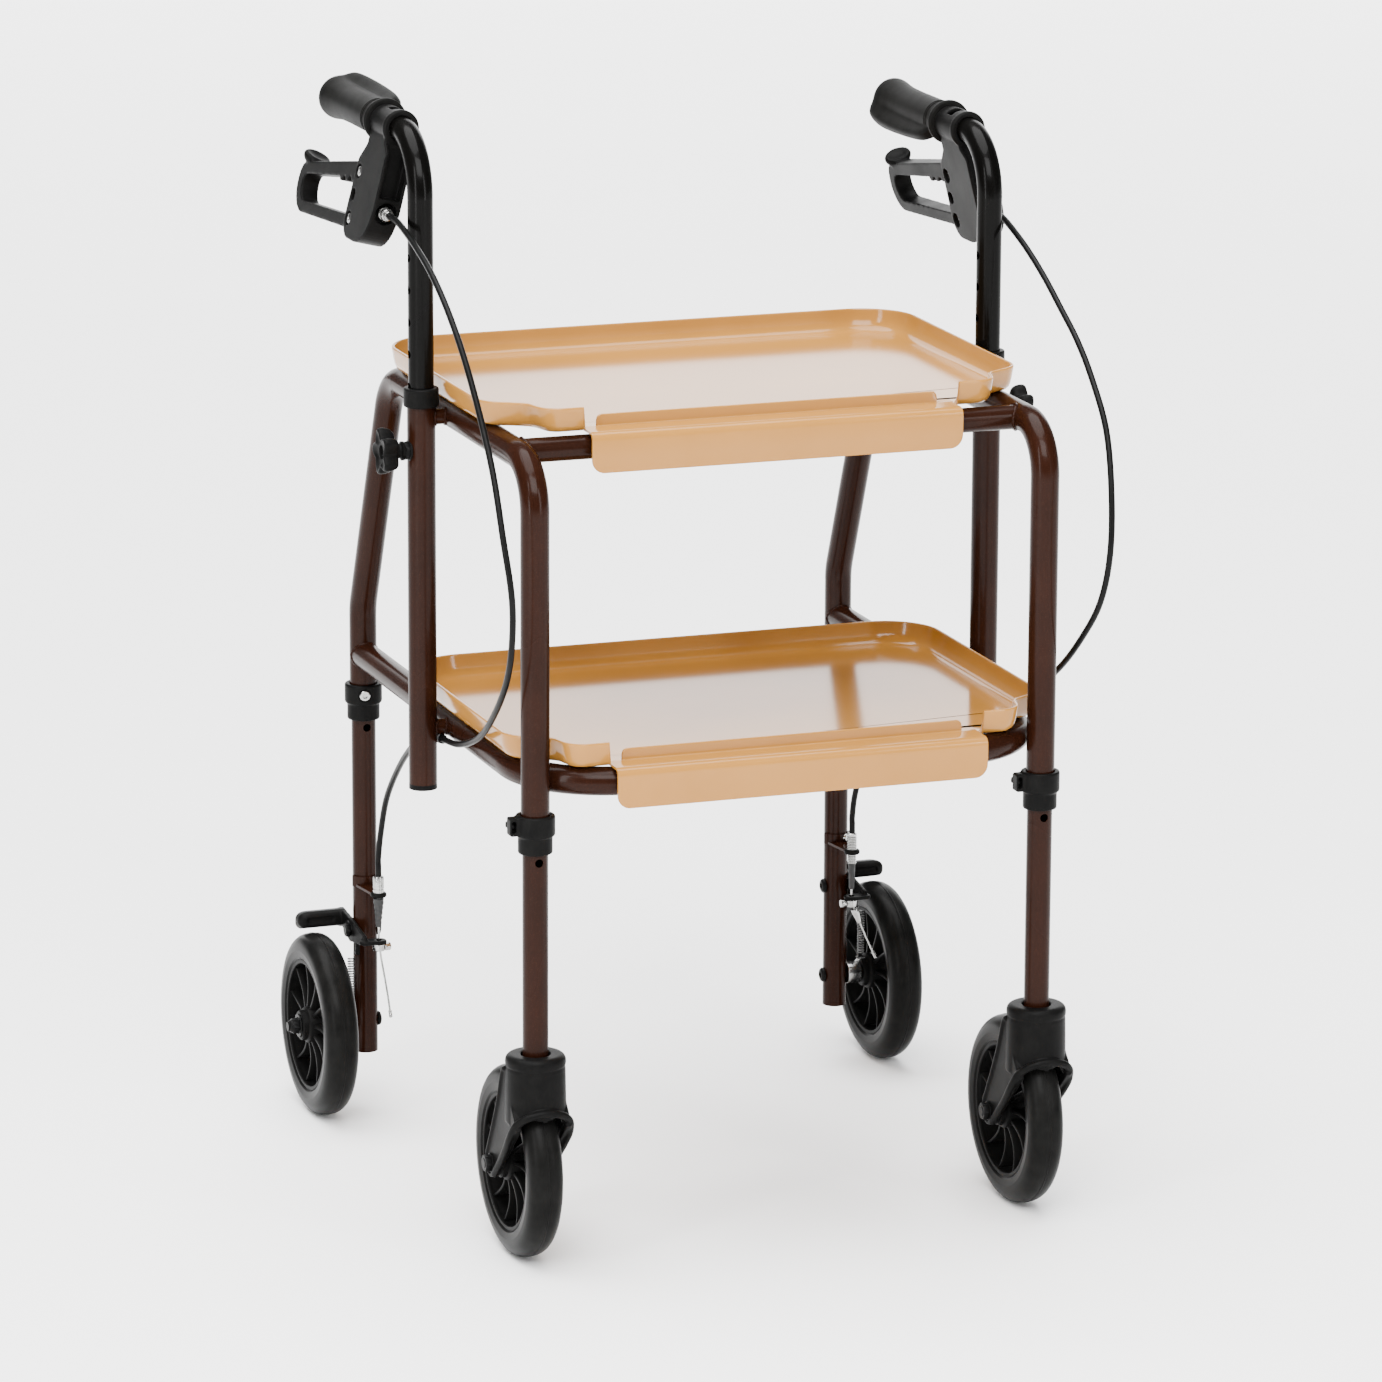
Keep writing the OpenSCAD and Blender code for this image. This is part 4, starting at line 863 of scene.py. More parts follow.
@dataclass(frozen=True)
class Tray:
    """A lift-off tray with a rim, wavy front corners and a folded front lip."""

    node: str
    low: float
    shift: float
    half_width: float = 219.5
    front: float = -186.0
    rear: float = 122.0
    lip_front: float = -200.0
    lip_half: float = 150.0
    lip_drop: float = 29.0
    gap_half: float = 151.5
    wall: float = 2.4
    rim: float = 20.0
    upstand: float = 9.0
    upstand_half: float = 138.0

    def outline(self) -> Outline:
        """The rim's outer edge, counter-clockwise, with spare points along the front.

        Returns:
            The outline's points.
        """
        gap = self.gap_half
        front = [
            (x, self.front, 0.0)
            for x in (-gap - 0.6, -gap + 0.6, -100, -50, 0, 50, 100, gap - 0.6, gap + 0.6)
        ]
        half = [
            (182.0, self.front, 18.0),
            (189.0, self.front + 28, 12.0),
            (self.half_width, self.front + 46, 24.0),
            (self.half_width, self.rear, 45.0),
        ]
        return rounded(front + half + [(-x, y, r) for x, y, r in reversed(half)], 10)

    def section(self) -> list[tuple[float, float]]:
        """Inset and height of the wall, from the underside over the rim to the floor.

        Returns:
            The wall's points, in millimetres.
        """
        wall, rim = self.wall, self.rim
        return [
            (24, 0), (12, 0), (8.4, 0.35), (5.6, 1.4), (3.6, 3.2), (2.3, 5.8), (1.3, 10), (0.4, 16),
            (0, rim - 1.3), (0.15, rim - 0.5), (0.6, rim - 0.08), (wall / 2, rim),
            (wall - 0.6, rim - 0.08), (wall - 0.15, rim - 0.5), (wall, rim - 1.3), (wall + 0.5, 15),
            (wall + 1.5, 10.5), (wall + 3.2, 6.8), (wall + 5.6, 4.2), (wall + 8.6, 2.8), (wall + 12, wall),
            (wall + 24, wall),
        ]

    def shell(self) -> Shape:
        """The floor and the rim, which is cut down behind the lip.

        Returns:
            The shape, in millimetres.
        """
        edge = self.outline()
        flush = self.wall - 0.25
        rings = []
        for depth, height in self.section():
            ring = []
            for outer, point in zip(edge, inset(edge, depth)):
                cut = abs(outer.x) < self.gap_half and outer.y < self.front + 1
                ring.append(Vector((point.x, point.y, min(height, flush) if cut and depth < 13 else height)))
            rings.append(ring)
        return loft(rings)

    def lip_ring(self, x: float) -> list[Vector]:
        """The lip's section at a place across the tray.

        Args:
            x: Place from the tray's middle, in millimetres.

        Returns:
            The section's points.
        """
        reach = abs(x)
        corner, top_round = 10.0, 4.0
        past = max(0.0, reach - (self.lip_half - corner))
        low = -self.lip_drop + corner - math.sqrt(max(0.0, corner**2 - past**2))
        over = max(0.0, reach - (self.upstand_half - top_round))
        rise = 0.02
        if reach <= self.upstand_half:
            rise = self.upstand - top_round + math.sqrt(max(0.0, top_round**2 - over**2))
        front, wall = self.lip_front, self.wall
        back = self.front + wall + 9 + wall
        fold, tip = 6.0, min(1.0, rise / 2)
        corners = [
            (back + 0.05, 0.6, 0.0),
            (front + wall, 0.4, fold - wall),
            (front + wall, low, 0.9),
            (front, low, 0.9),
            (front, wall, fold),
            (back - wall, wall, min(1.2, rise / 3)),
            (back - wall, wall + rise, tip),
            (back, wall + rise, tip),
        ]
        return [Vector((x, p.x, p.y)) for p in rounded(corners, 5)]

    def lip(self) -> Shape:
        """The folded front lip with the upstand behind it.

        Returns:
            The shape, in millimetres.
        """
        ends = [
            150, 149.8, 149.2, 148, 146.4, 144.4, 142, 140, 138.06, 138, 137.6, 136.8, 135.6, 134, 130,
            90, 45,
        ]
        across = ends + [0.0] + [-x for x in reversed(ends)]
        return loft([self.lip_ring(-x) for x in across])

    def make(self, palette: Palette) -> bpy.types.Object:
        """Builds the tray where its solid lies.

        Args:
            palette: The walker's finishes.

        Returns:
            The piece.
        """
        shape = self.shell().add(self.lip())
        piece = shape.moved(Matrix.Translation((0, -self.shift, self.low))).build(
            f"{self.node}_moulding", palette.tray
        )
        return settle(piece, self.node, "tray_tan", self.node)


@dataclass(frozen=True)
class HandGrip:
    """An anatomic hand grip with a flange in front and a palm wing on its inner side."""

    side: Side
    flange_y: float = 46.3
    flange_l: float = 5.0
    flange_r: float = 17.5
    length: float = 122.0
    neck: float = 14.0
    sides: int = 144

    # Turn of the palm wing above the level, in degrees
    ROLLS = {Side.LEFT: 35.0, Side.RIGHT: -45.0}
    # Share of the length; then, in necks, the body's radius and the wing's reach and half thickness
    STATIONS = (
        (0.0, 1.02, 0.70, 0.40),
        (0.05, 1.02, 0.70, 0.40),
        (0.08, 1.02, 1.10, 0.40),
        (0.12, 1.02, 1.44, 0.40),
        (0.19, 1.02, 1.64, 0.40),
        (0.34, 1.02, 1.76, 0.40),
        (0.56, 1.02, 1.83, 0.44),
        (0.75, 1.06, 1.84, 0.56),
        (0.87, 1.15, 1.80, 0.74),
        (0.94, 1.22, 1.74, 0.84),
        (0.975, 1.21, 1.64, 0.84),
        (0.993, 1.11, 1.44, 0.78),
        (1.0, 0.92, 1.16, 0.64),
    )
    # Powers that round the wing's edge and fillet it into the body
    EDGE_POWER = 5.0
    FILLET_POWER = 11.0

    def ring(self, station: Vector) -> list[Vector]:
        """The grip's section at a station, about its axis: a round body with a flat palm wing.

        Args:
            station: Share of the length; then, in necks, body, reach and half thickness.

        Returns:
            The section's points.
        """
        share = min(station[0], 1.0)
        body, reach, thick = (self.neck * value for value in station[1:4])
        y = self.flange_y + self.flange_l - 1 + (self.length + 1) * share
        section = []
        for k in range(self.sides):
            a = 2 * math.pi * k / self.sides - math.pi
            r = body
            if math.cos(a) > 0:
                face = thick / max(abs(math.sin(a)), 0.01)
                wing = (reach**-self.EDGE_POWER + face**-self.EDGE_POWER) ** (-1 / self.EDGE_POWER)
                r = (body**self.FILLET_POWER + wing**self.FILLET_POWER) ** (1 / self.FILLET_POWER)
            section.append(Vector((r * math.cos(a), y, r * math.sin(a))))
        return section

    def ridges(self) -> Shape:
        """Two thin moulded lines round the neck.

        Returns:
            The shape, in millimetres.
        """
        shape = Shape()
        root, crest, half = self.neck - 2, self.neck + 0.75, 0.5
        place = aim((0, self.flange_y + self.flange_l, 0), (0, 1, 0))
        for y in (12.4, 15.6):
            low, high = y - half, y + half
            profile = rounded([(root, low, 0), (crest, low, 0.3), (crest, high, 0.3), (root, high, 0)], 3)
            shape.add(revolve(profile, 64, closed=True).moved(place))
        return shape

    def flange(self) -> Shape:
        """The rounded stop ring at the grip's front.

        Returns:
            The shape, in millimetres.
        """
        r, low, high = self.flange_r, 0.0, self.flange_l
        profile = rounded([(9.9, low, 0.4), (r, low, 1.8), (r, high, 1.8), (9.9, high, 0)], 5)
        return revolve(profile, 64, closed=True).moved(aim((0, self.flange_y, 0), (0, 1, 0)))

    def make(self, palette: Palette) -> bpy.types.Object:
        """Builds the grip where its solid lies.

        Args:
            palette: The walker's finishes.

        Returns:
            The piece.
        """
        steps = through([Vector(s) for s in self.STATIONS], 6)
        roll = Matrix.Rotation(-math.radians(self.ROLLS[self.side]), 4, "Y")
        shape = loft([self.ring(s) for s in steps]).add(self.flange()).add(self.ridges())
        shape = shape.moved(Matrix.Translation((-POST_X, 0, GRIP_Z)) @ roll)
        piece = shape.on(self.side, dropped=True).build(self.side.name("hand_grip_moulding"), palette.grip)
        return settle(piece, self.side.name("handle"), "black_plastic", self.side.name("hand_grip"))


@dataclass(frozen=True)
class BrakeCable:
    """A brake cable that bows forward from its lever, runs through a clip and ends at the rear stop."""

    side: Side
    radius: float = 2.5
    barrel_z: float = -66.0
    tip_y: float = -12.15
    clip: tuple[float, float, float] = (-219.3, POST_Y, 374.0)
    stop: tuple[float, float, float] = (-HALF_TRACK, WIRE_Y, 207.2)

    BOWS = {
        Side.LEFT: (
            (0, -28, -2), (-1, -68, -11), (-1, -108, -25), (-1, -148, -46), (0, -183, -74), (2, -214, -111),
            (5, -238, -153),
        ),
        Side.RIGHT: (
            (0, -28, -4), (-1, -63, -17), (-2, -98, -34), (-2, -133, -53), (-1, -168, -71), (0, -200, -94),
            (3, -238, -128),
        ),
    }
    SAG = (
        (-25, -230, 211), (-21, -239, 166), (-18, -229, 126), (-14, -203, 92), (-11, -165, 59),
        (-7, -117, 30), (-3, -55, 9), (0, 0, 0), (2, 50, -10),
    )
    LAST = ((-7, -107, 131), (-3, -60, 101), (-1, -26, 70), (0, -7, 37), (0, 0, 15), (0, 0, 7.5), (0, 0, 0))

    def route(self) -> list[Vector]:
        """The sheath's centre line on the left side, from the lever's adjuster to the rear stop.

        Returns:
            The line's points.
        """
        tip = Vector(
            (
                self.barrel_z * math.sin(BRAKE_TILT) - POST_X,
                self.tip_y,
                self.barrel_z * math.cos(BRAKE_TILT) + GRIP_Z - self.side.drop,
            )
        )
        return (
            [tip - Vector((0, back, 0)) for back in (0, 5, 10)]
            + [tip + Vector(p) for p in self.BOWS[self.side]]
            + [Vector(self.clip) + Vector(p) for p in self.SAG]
            + [Vector(self.stop) + Vector(p) for p in self.LAST]
        )

    def make(self, palette: Palette) -> list[bpy.types.Object]:
        """Builds the stretch from the lever to the clip and the one from the clip to the rear stop.

        Args:
            palette: The walker's finishes.

        Returns:
            The pieces.
        """
        points = self.route()
        steps = 5
        line = through(points, steps)
        split = (len(points) - len(self.LAST) - 2) * steps
        upper = sweep(line[: split + 1], self.radius, 16).on(self.side)
        lower = sweep(line[split:], self.radius, 16).on(self.side)
        top = upper.build(self.side.name("brake_cable_bow"), palette.cable, 60.0)
        low = lower.build(self.side.name("brake_cable_tail"), palette.cable, 60.0)
        tip = points[0]
        self.side.name("handle")
        self.side.at(-250, -100, 560)
        self.side.at(-250, -100, tip.z - 22)
        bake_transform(top)
        self.side.name("rear_leg")
        self.side.at(-215, 20, 300)
        self.side.at(-215, WIRE_Y - 8, 300)
        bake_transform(low)
        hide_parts(self.side.name("brake_cable"))
        for piece in (top, low):
            LOG.info("%s bends between two bodies", piece.name)
        return [top, low]


@dataclass(frozen=True)
class ReturnSpring:
    """A close-wound tension spring between the brake arm and the axle's tab."""

    side: Side
    x: float = -223.15
    y: float = REAR_Y - 16
    low: float = 95.0
    high: float = 133.5
    coil_r: float = 2.5
    wire_r: float = 0.55
    curls: int = 18
    tail: float = 5.0

    def make(self, palette: Palette) -> bpy.types.Object:
        """Builds the coil with its straight ends.

        Args:
            palette: The walker's finishes.

        Returns:
            The piece.
        """
        per = 18
        start = Vector((self.x + self.coil_r, self.y, self.low - self.tail))
        line = [start, start + Vector((0, 0, self.tail - 1.5))]
        for k in range(self.curls * per + 1):
            a = 2 * math.pi * k / per
            height = self.low + (self.high - self.low) * k / (self.curls * per)
            x, y = self.x + self.coil_r * math.cos(a), self.y + self.coil_r * math.sin(a)
            line.append(Vector((x, y, height)))
        end = Vector((self.x + self.coil_r, self.y, self.high + 1.5))
        line += [end, end + Vector((0, 0, self.tail - 1.5))]
        piece = sweep(line, self.wire_r, 8).on(self.side).build(
            self.side.name("return_spring_wire"), palette.spring, 70.0
        )
        self.side.name("rear_leg")
        self.side.name("brake_arm")
        self.side.at(self.x, self.y, self.low)
        self.side.at(self.x, self.y, self.high)
        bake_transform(piece)
        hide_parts(self.side.name("return_spring"))
        LOG.info("%s bends between two bodies", piece.name)
        return piece


@dataclass(frozen=True)
class Tyre:
    """A rounded solid tyre with a moulded bead and a parting line."""

    side: Side
    end: str
    radius: float = WHEEL_R
    bore: float = 54.0
    width: float = 28.0

    def centre(self) -> Vector:
        """The wheel's centre on the left side.

        Returns:
            The centre, in millimetres.
        """
        if self.end == "front":
            return Vector((-HALF_TRACK, FRONT_Y + TRAIL, WHEEL_R))
        return Vector((-HALF_TRACK - WHEEL_OFFSET, REAR_Y, WHEEL_R))

    def profile(self) -> Outline:
        """Radius and width of the section.

        Returns:
            The outline's points.
        """
        half, top, foot = self.width / 2, self.radius, self.bore
        side = [
            (foot, -half + 2.2, 0.0),
            (foot + 1.4, -half + 0.9, 0.8),
            (foot + 7.0, -half, 5.0),
            (top - 0.1, -half + 0.9, 11.5),
            (top - 0.3, -0.8, 0.0),
            (top, -0.5, 0.0),
        ]
        return rounded(side + [(r, -w, edge) for r, w, edge in reversed(side)], 7)

    def make(self, palette: Palette) -> bpy.types.Object:
        """Builds the tyre where its solid lies.

        Args:
            palette: The walker's finishes.

        Returns:
            The piece.
        """
        shape = revolve(self.profile(), 120, closed=True).moved(aim(self.centre(), (1, 0, 0)))
        piece = shape.on(self.side).build(self.side.name(f"{self.end}_tyre_rubber"), palette.tyre, 40.0)
        return settle(piece, self.side.name(f"{self.end}_wheel"), "tyre", self.side.name(f"{self.end}_tyre"))


@dataclass(frozen=True)
class WheelRim:
    """A moulded rim: felly, stepped hub and curved fins between them."""

    side: Side
    end: str
    felly_r: float = 53.9
    felly_in: float = 50.2
    felly_half: float = 12.0
    hub_half: float = 17.0
    fins: int = 11
    bend: float = math.radians(9)

    def fin(self, start: float) -> Shape:
        """One fin, bent round from the hub to the felly.

        Args:
            start: The fin's angle at the hub, in radians.

        Returns:
            The shape, in millimetres.
        """
        rings = []
        for k in range(11):
            t = k / 10
            reach = 13.0 + (self.felly_in + 0.6 - 13.0) * t
            angle = start + self.bend * t**1.5
            half = 1.5 - 0.45 * t
            deep = 9.6 - 2.2 * math.sin(math.pi * t)
            out = Vector((math.cos(angle), math.sin(angle), 0))
            over = Vector((-out.y, out.x, 0))
            corners = ((-half, -deep), (half, -deep), (half, deep), (-half, deep))
            section = rounded([(x, y, 0.5) for x, y in corners], 2)
            rings.append([out * reach + over * p.x + Vector((0, 0, p.y)) for p in section])
        return loft(rings)

    def make(self, palette: Palette) -> bpy.types.Object:
        """Builds the rim where its solid lies.

        Args:
            palette: The walker's finishes.

        Returns:
            The piece.
        """
        half, foot = self.felly_half, self.felly_in
        felly = rounded(
            [(foot, -half, 0.9), (self.felly_r, -half, 0.4), (self.felly_r, half, 0.4), (foot, half, 0.9),
             (foot + 1.1, half - 3.5, 0.8), (foot + 1.1, 3.5 - half, 0.8)], 4
        )
        end = -self.hub_half
        side = [
            (4.1, end), (6.2, end), (6.5, -16.4), (9.4, -16.4), (9.8, end), (11.4, end), (12.2, -16.2),
            (12.6, -12.6), (14.6, -11.6), (15.0, -10.8),
        ]
        hub = side + [(r, -h) for r, h in reversed(side)]
        shape = revolve(felly, 120, closed=True).add(revolve(hub, 64, closed=True))
        for k in range(self.fins):
            shape.add(self.fin(2 * math.pi * k / self.fins))
        place = aim(Tyre(self.side, self.end).centre(), (1, 0, 0))
        rim, wheel = self.side.name(f"{self.end}_rim"), self.side.name(f"{self.end}_wheel")
        moulding = self.side.name(f"{self.end}_rim_moulding")
        piece = shape.moved(place).on(self.side).build(moulding, palette.plastic)
        return settle(piece, wheel, "black_plastic", rim)


@dataclass(frozen=True)
class CasterFork:
    """A caster's fork: capped head, two rimmed arms and the arch over the tyre between them."""

    side: Side
    head_r: float = 23.0
    top: float = 172.0
    low: float = 119.0
    arm_in: float = 17.6
    arm_out: float = 22.4
    boss_r: float = 11.0
    cup_r: float = 11.35
    cup_z: float = 157.0

    # Arch and front edge of an arm, from the crown down, as x, y and z from the head's axis
    ARCH = (
        (0, -25.4, 130.6), (9, -24.6, 129.6), (17, -21.6, 126.0), (22.2, -16.6, 119.6), (24.0, -9.5, 109.5),
        (23.6, 0, 98.8), (23.0, 12, 87.0), (22.8, 24, 75.6), (22.8, 32, 67.8),
    )
    # Rear edge of an arm, from the head down to the boss, as y and z
    SPINE = ((7, 160.5), (11, 157.5), (14.5, 150), (22, 131), (35, 106), (49.8, 80.0))

    def head(self) -> Shape:
        """The round head with its cap.

        Returns:
            The shape, in millimetres.
        """
        r, top = self.head_r, self.top
        profile = [
            (0, self.low), (r + 0.5, self.low), (r + 0.4, 140), (r, top - 10.4), (r - 0.9, top - 9.6),
            (r - 0.9, top - 9.0), (r + 0.3, top - 8.2), (r + 0.4, top - 4.5), (r - 0.2, top - 2.4),
            (r - 1.6, top - 0.8), (r - 3.6, top), (0, top),
        ]
        return revolve(profile, 80)

    def arm(self, sign: float) -> Shape:
        """One arm with its raised edge and boss.

        Args:
            sign: -1 for the left arm, 1 for the right one.

        Returns:
            The shape, in millimetres.
        """
        boss = Vector((TRAIL, WHEEL_R))
        outline = [Vector(p) for p in self.SPINE[:-1]]
        first, last = math.radians(27.0), math.radians(-133.7)
        for k in range(19):
            a = first + (last - first) * k / 18
            outline.append(boss + self.boss_r * Vector((math.cos(a), math.sin(a))))
        outline += [Vector(p) for p in ((-21, 118), (-15, 127), (-6, 136), (0, 148), (4, 160))]
        inner, outer = sign * self.arm_in, sign * self.arm_out
        shape = plate(outline, min(inner, outer), max(inner, outer))
        spine = [Vector((sign * 22.6, y, z)) for y, z in self.SPINE]
        shape.add(sweep(through(spine, 6), 1.9, 14))
        foot = [
            Vector((sign * 22.6, TRAIL + 9.6 * math.cos(a), WHEEL_R + 9.6 * math.sin(a)))
            for a in (first + (last - first) * k / 24 for k in range(25))
        ]
        shape.add(sweep(foot, 1.8, 14))
        front = [Vector((sign * x, y, z)) for x, y, z in self.ARCH]
        return shape.add(sweep(through(front, 6), 3.1, 16))

    def hollows(self) -> Shape:
        """The wheel's room, the leg's cup, the stem's bore and the axle's hole.

        Returns:
            The shape, in millimetres.
        """
        inner = self.arm_in
        room = [(0, -inner), (66, -inner), (73.5, -15.6), (78.0, -12.5), (79.6, -8.5)]
        wheel = revolve(room + [(r, -h) for r, h in reversed(room)], 128)
        shape = wheel.moved(aim((0, TRAIL, WHEEL_R), (1, 0, 0)))
        shape.add(rod(4.1, -40, 40).moved(aim((0, TRAIL, WHEEL_R), (1, 0, 0))))
        shape.add(rod(self.cup_r, self.cup_z, self.top + 10))
        shape.add(rod(6.3, 130, 152))
        return shape.add(rod(4.1, 130, self.top))

    def make(self, palette: Palette) -> bpy.types.Object:
        """Builds the fork where its solid lies.

        Args:
            palette: The walker's finishes.

        Returns:
            The piece.
        """
        place = Matrix.Translation((-HALF_TRACK, FRONT_Y, 0))
        forms = self.head().add(self.arm(-1)).add(self.arm(1)).moved(place).on(self.side)
        hollows = self.hollows().moved(place).on(self.side)
        moulding = Moulding(self.side.name("caster_fork"), self.side.name("caster"), 0.7, 7)
        return moulding.make(forms, palette.plastic, hollows)


@dataclass(frozen=True)
class StarKnob:
    """A five-lobed clamp knob with a dished face, and the dark nut that it closes on."""

    side: Side
    lobes: int = 5
    radius: float = 15.6
    swell: float = 3.3
    neck: float = 7.0
    seat: float = POST_X + TUBE_R + 3.3
    z: float = TOP_RAIL_Z - 25.0

    # Share of the outline's size, and height over the neck
    LAYERS = (
        (0.50, 0.0), (0.66, 0.15), (0.80, 0.9), (0.90, 2.4), (0.965, 5.0), (1.0, 8.0), (1.0, 10.4),
        (0.985, 11.8), (0.95, 12.7), (0.89, 13.0), (0.82, 12.8), (0.70, 12.0), (0.56, 11.3), (0.42, 11.0),
        (0.36, 10.9), (0.34, 8.6),
    )

    def head(self) -> Shape:
        """The lobed head, from its back to the hole in its face.

        Returns:
            The shape, in millimetres.
        """
        rings = []
        for size, height in self.LAYERS:
            lobed = min(1.0, max(0.0, (size - 0.4) / 0.4))
            ring = []
            for k in range(120):
                a = 2 * math.pi * k / 120
                reach = size * (self.radius + self.swell * lobed * math.cos(self.lobes * a))
                ring.append(Vector((reach * math.cos(a), reach * math.sin(a), self.neck + height)))
            rings.append(ring)
        return loft(rings)

    def make(self, palette: Palette) -> list[bpy.types.Object]:
        """Builds the knob and the nut.

        Args:
            palette: The walker's finishes.

        Returns:
            The pieces.
        """
        place = aim((-self.seat, POST_Y, self.z), (-1, 0, 0)) @ Matrix.Rotation(math.radians(18), 4, "Z")
        neck = [
            (0, 0.05), (7.2, 0.05), (7.5, 0.4), (7.5, 2.2), (6.2, 2.8), (5.6, 3.4), (5.6, 5.2), (6.6, 7.2),
            (0, 7.2),
        ]
        shape = self.head().add(revolve(neck, 48)).add(rod(3, -13, 1))
        name = self.side.name("star_knob")
        knob = shape.moved(place).on(self.side).build(f"{name}_moulding", palette.plastic, 50.0)
        settle(knob, name, "black_plastic", name)
        nut = hex_head(15.6, -3.6, -0.05, 0.6).add(rod(8.2, -5.2, -3.4))
        seat = nut.moved(place).on(self.side).build(self.side.name("knob_nut"), palette.dark_bolt)
        return [knob, settle(seat, "frame", "black_plastic")]


@dataclass(frozen=True)
class BrakeHousing:
    """The brake's clamp and its two-cheek housing, drawn about the grip's axis."""

    side: Side
    half: float = 11.0
    clamp_y: float = 6.0
    clamp_end: float = 46.0
    clamp_r: float = 13.5
    front_y: float = -4.0
    rear_y: float = 61.0
    low: float = -95.0
    tube_r: float = 9.95

    # Seats of the pins and of the stop, as y, z, radius and depth
    SEATS = ((51.0, -42.5, 5.9, 3.6), (51.0, -80.0, 5.9, 3.6), (52.4, -61.25, 5.0, 4.3))

    def forms(self) -> Shape:
        """The cheeks and the clamp round the handle tube.

        Returns:
            The shape, in millimetres.
        """
        outline = rounded(
            [
                (self.clamp_y, 0, 0), (self.clamp_y, -13, 4), (self.front_y, -20, 5),
                (self.front_y, self.low, 34), (self.rear_y, self.low, 16), (self.rear_y - 2, -33.5, 9),
                (self.clamp_end, -19.5, 4), (self.clamp_end, 0, 0),
            ],
            14,
        )
        shape = plate(outline, -self.half, self.half)
        along = aim((0, 0, 0), (0, 1, 0))
        shape.add(rod(self.clamp_r, self.clamp_y, self.clamp_end, 0.6, 72).moved(along))
        return shape.add(rod(self.clamp_r + 1.1, self.clamp_y, self.clamp_y + 6, 1.2, 72).moved(along))

    def hollows(self) -> Shape:
        """The bore, the window, the front channel, the lever's slot and the seats.

        Returns:
            The shape, in millimetres.
        """
        along = aim((0, 0, 0), (0, 1, 0))
        shape = rod(self.tube_r, -20, 70, 0.4, 72).moved(along)
        shape.add(block((-6, 20.5, 8), (6, 31.5, 20)))
        shape.add(block((-8.4, -12, -54.9), (8.4, 5.5, -12.6)))
        shape.add(block((-6.2, 37, -91), (6.2, 90, -17.5)))
        for y, z, radius, deep in self.SEATS:
            for sign in (-1, 1):
                shape.add(rod(radius, self.half - deep, self.half + 4).moved(aim((0, y, z), (sign, 0, 0))))
        for z in (-42.5, -80.0):
            shape.add(rod(3.1, -12, 12).moved(aim((0, 51, z), (1, 0, 0))))
        adjuster = aim((0, self.front_y, -66), (0, 1, 0))
        return shape.add(rod(8.5, -6, 7, 0.4).moved(adjuster)).add(rod(3.1, 0, 55).moved(adjuster))

    def make(self, palette: Palette) -> bpy.types.Object:
        """Builds the housing where its solid lies.

        Args:
            palette: The walker's finishes.

        Returns:
            The piece.
        """
        place = brake_frame()
        moulding = Moulding(self.side.name("brake_housing"), self.side.name("handle"), 0.6, 4)
        return moulding.make(
            self.forms().moved(place).on(self.side, dropped=True),
            palette.plastic,
            self.hollows().moved(place).on(self.side, dropped=True),
        )


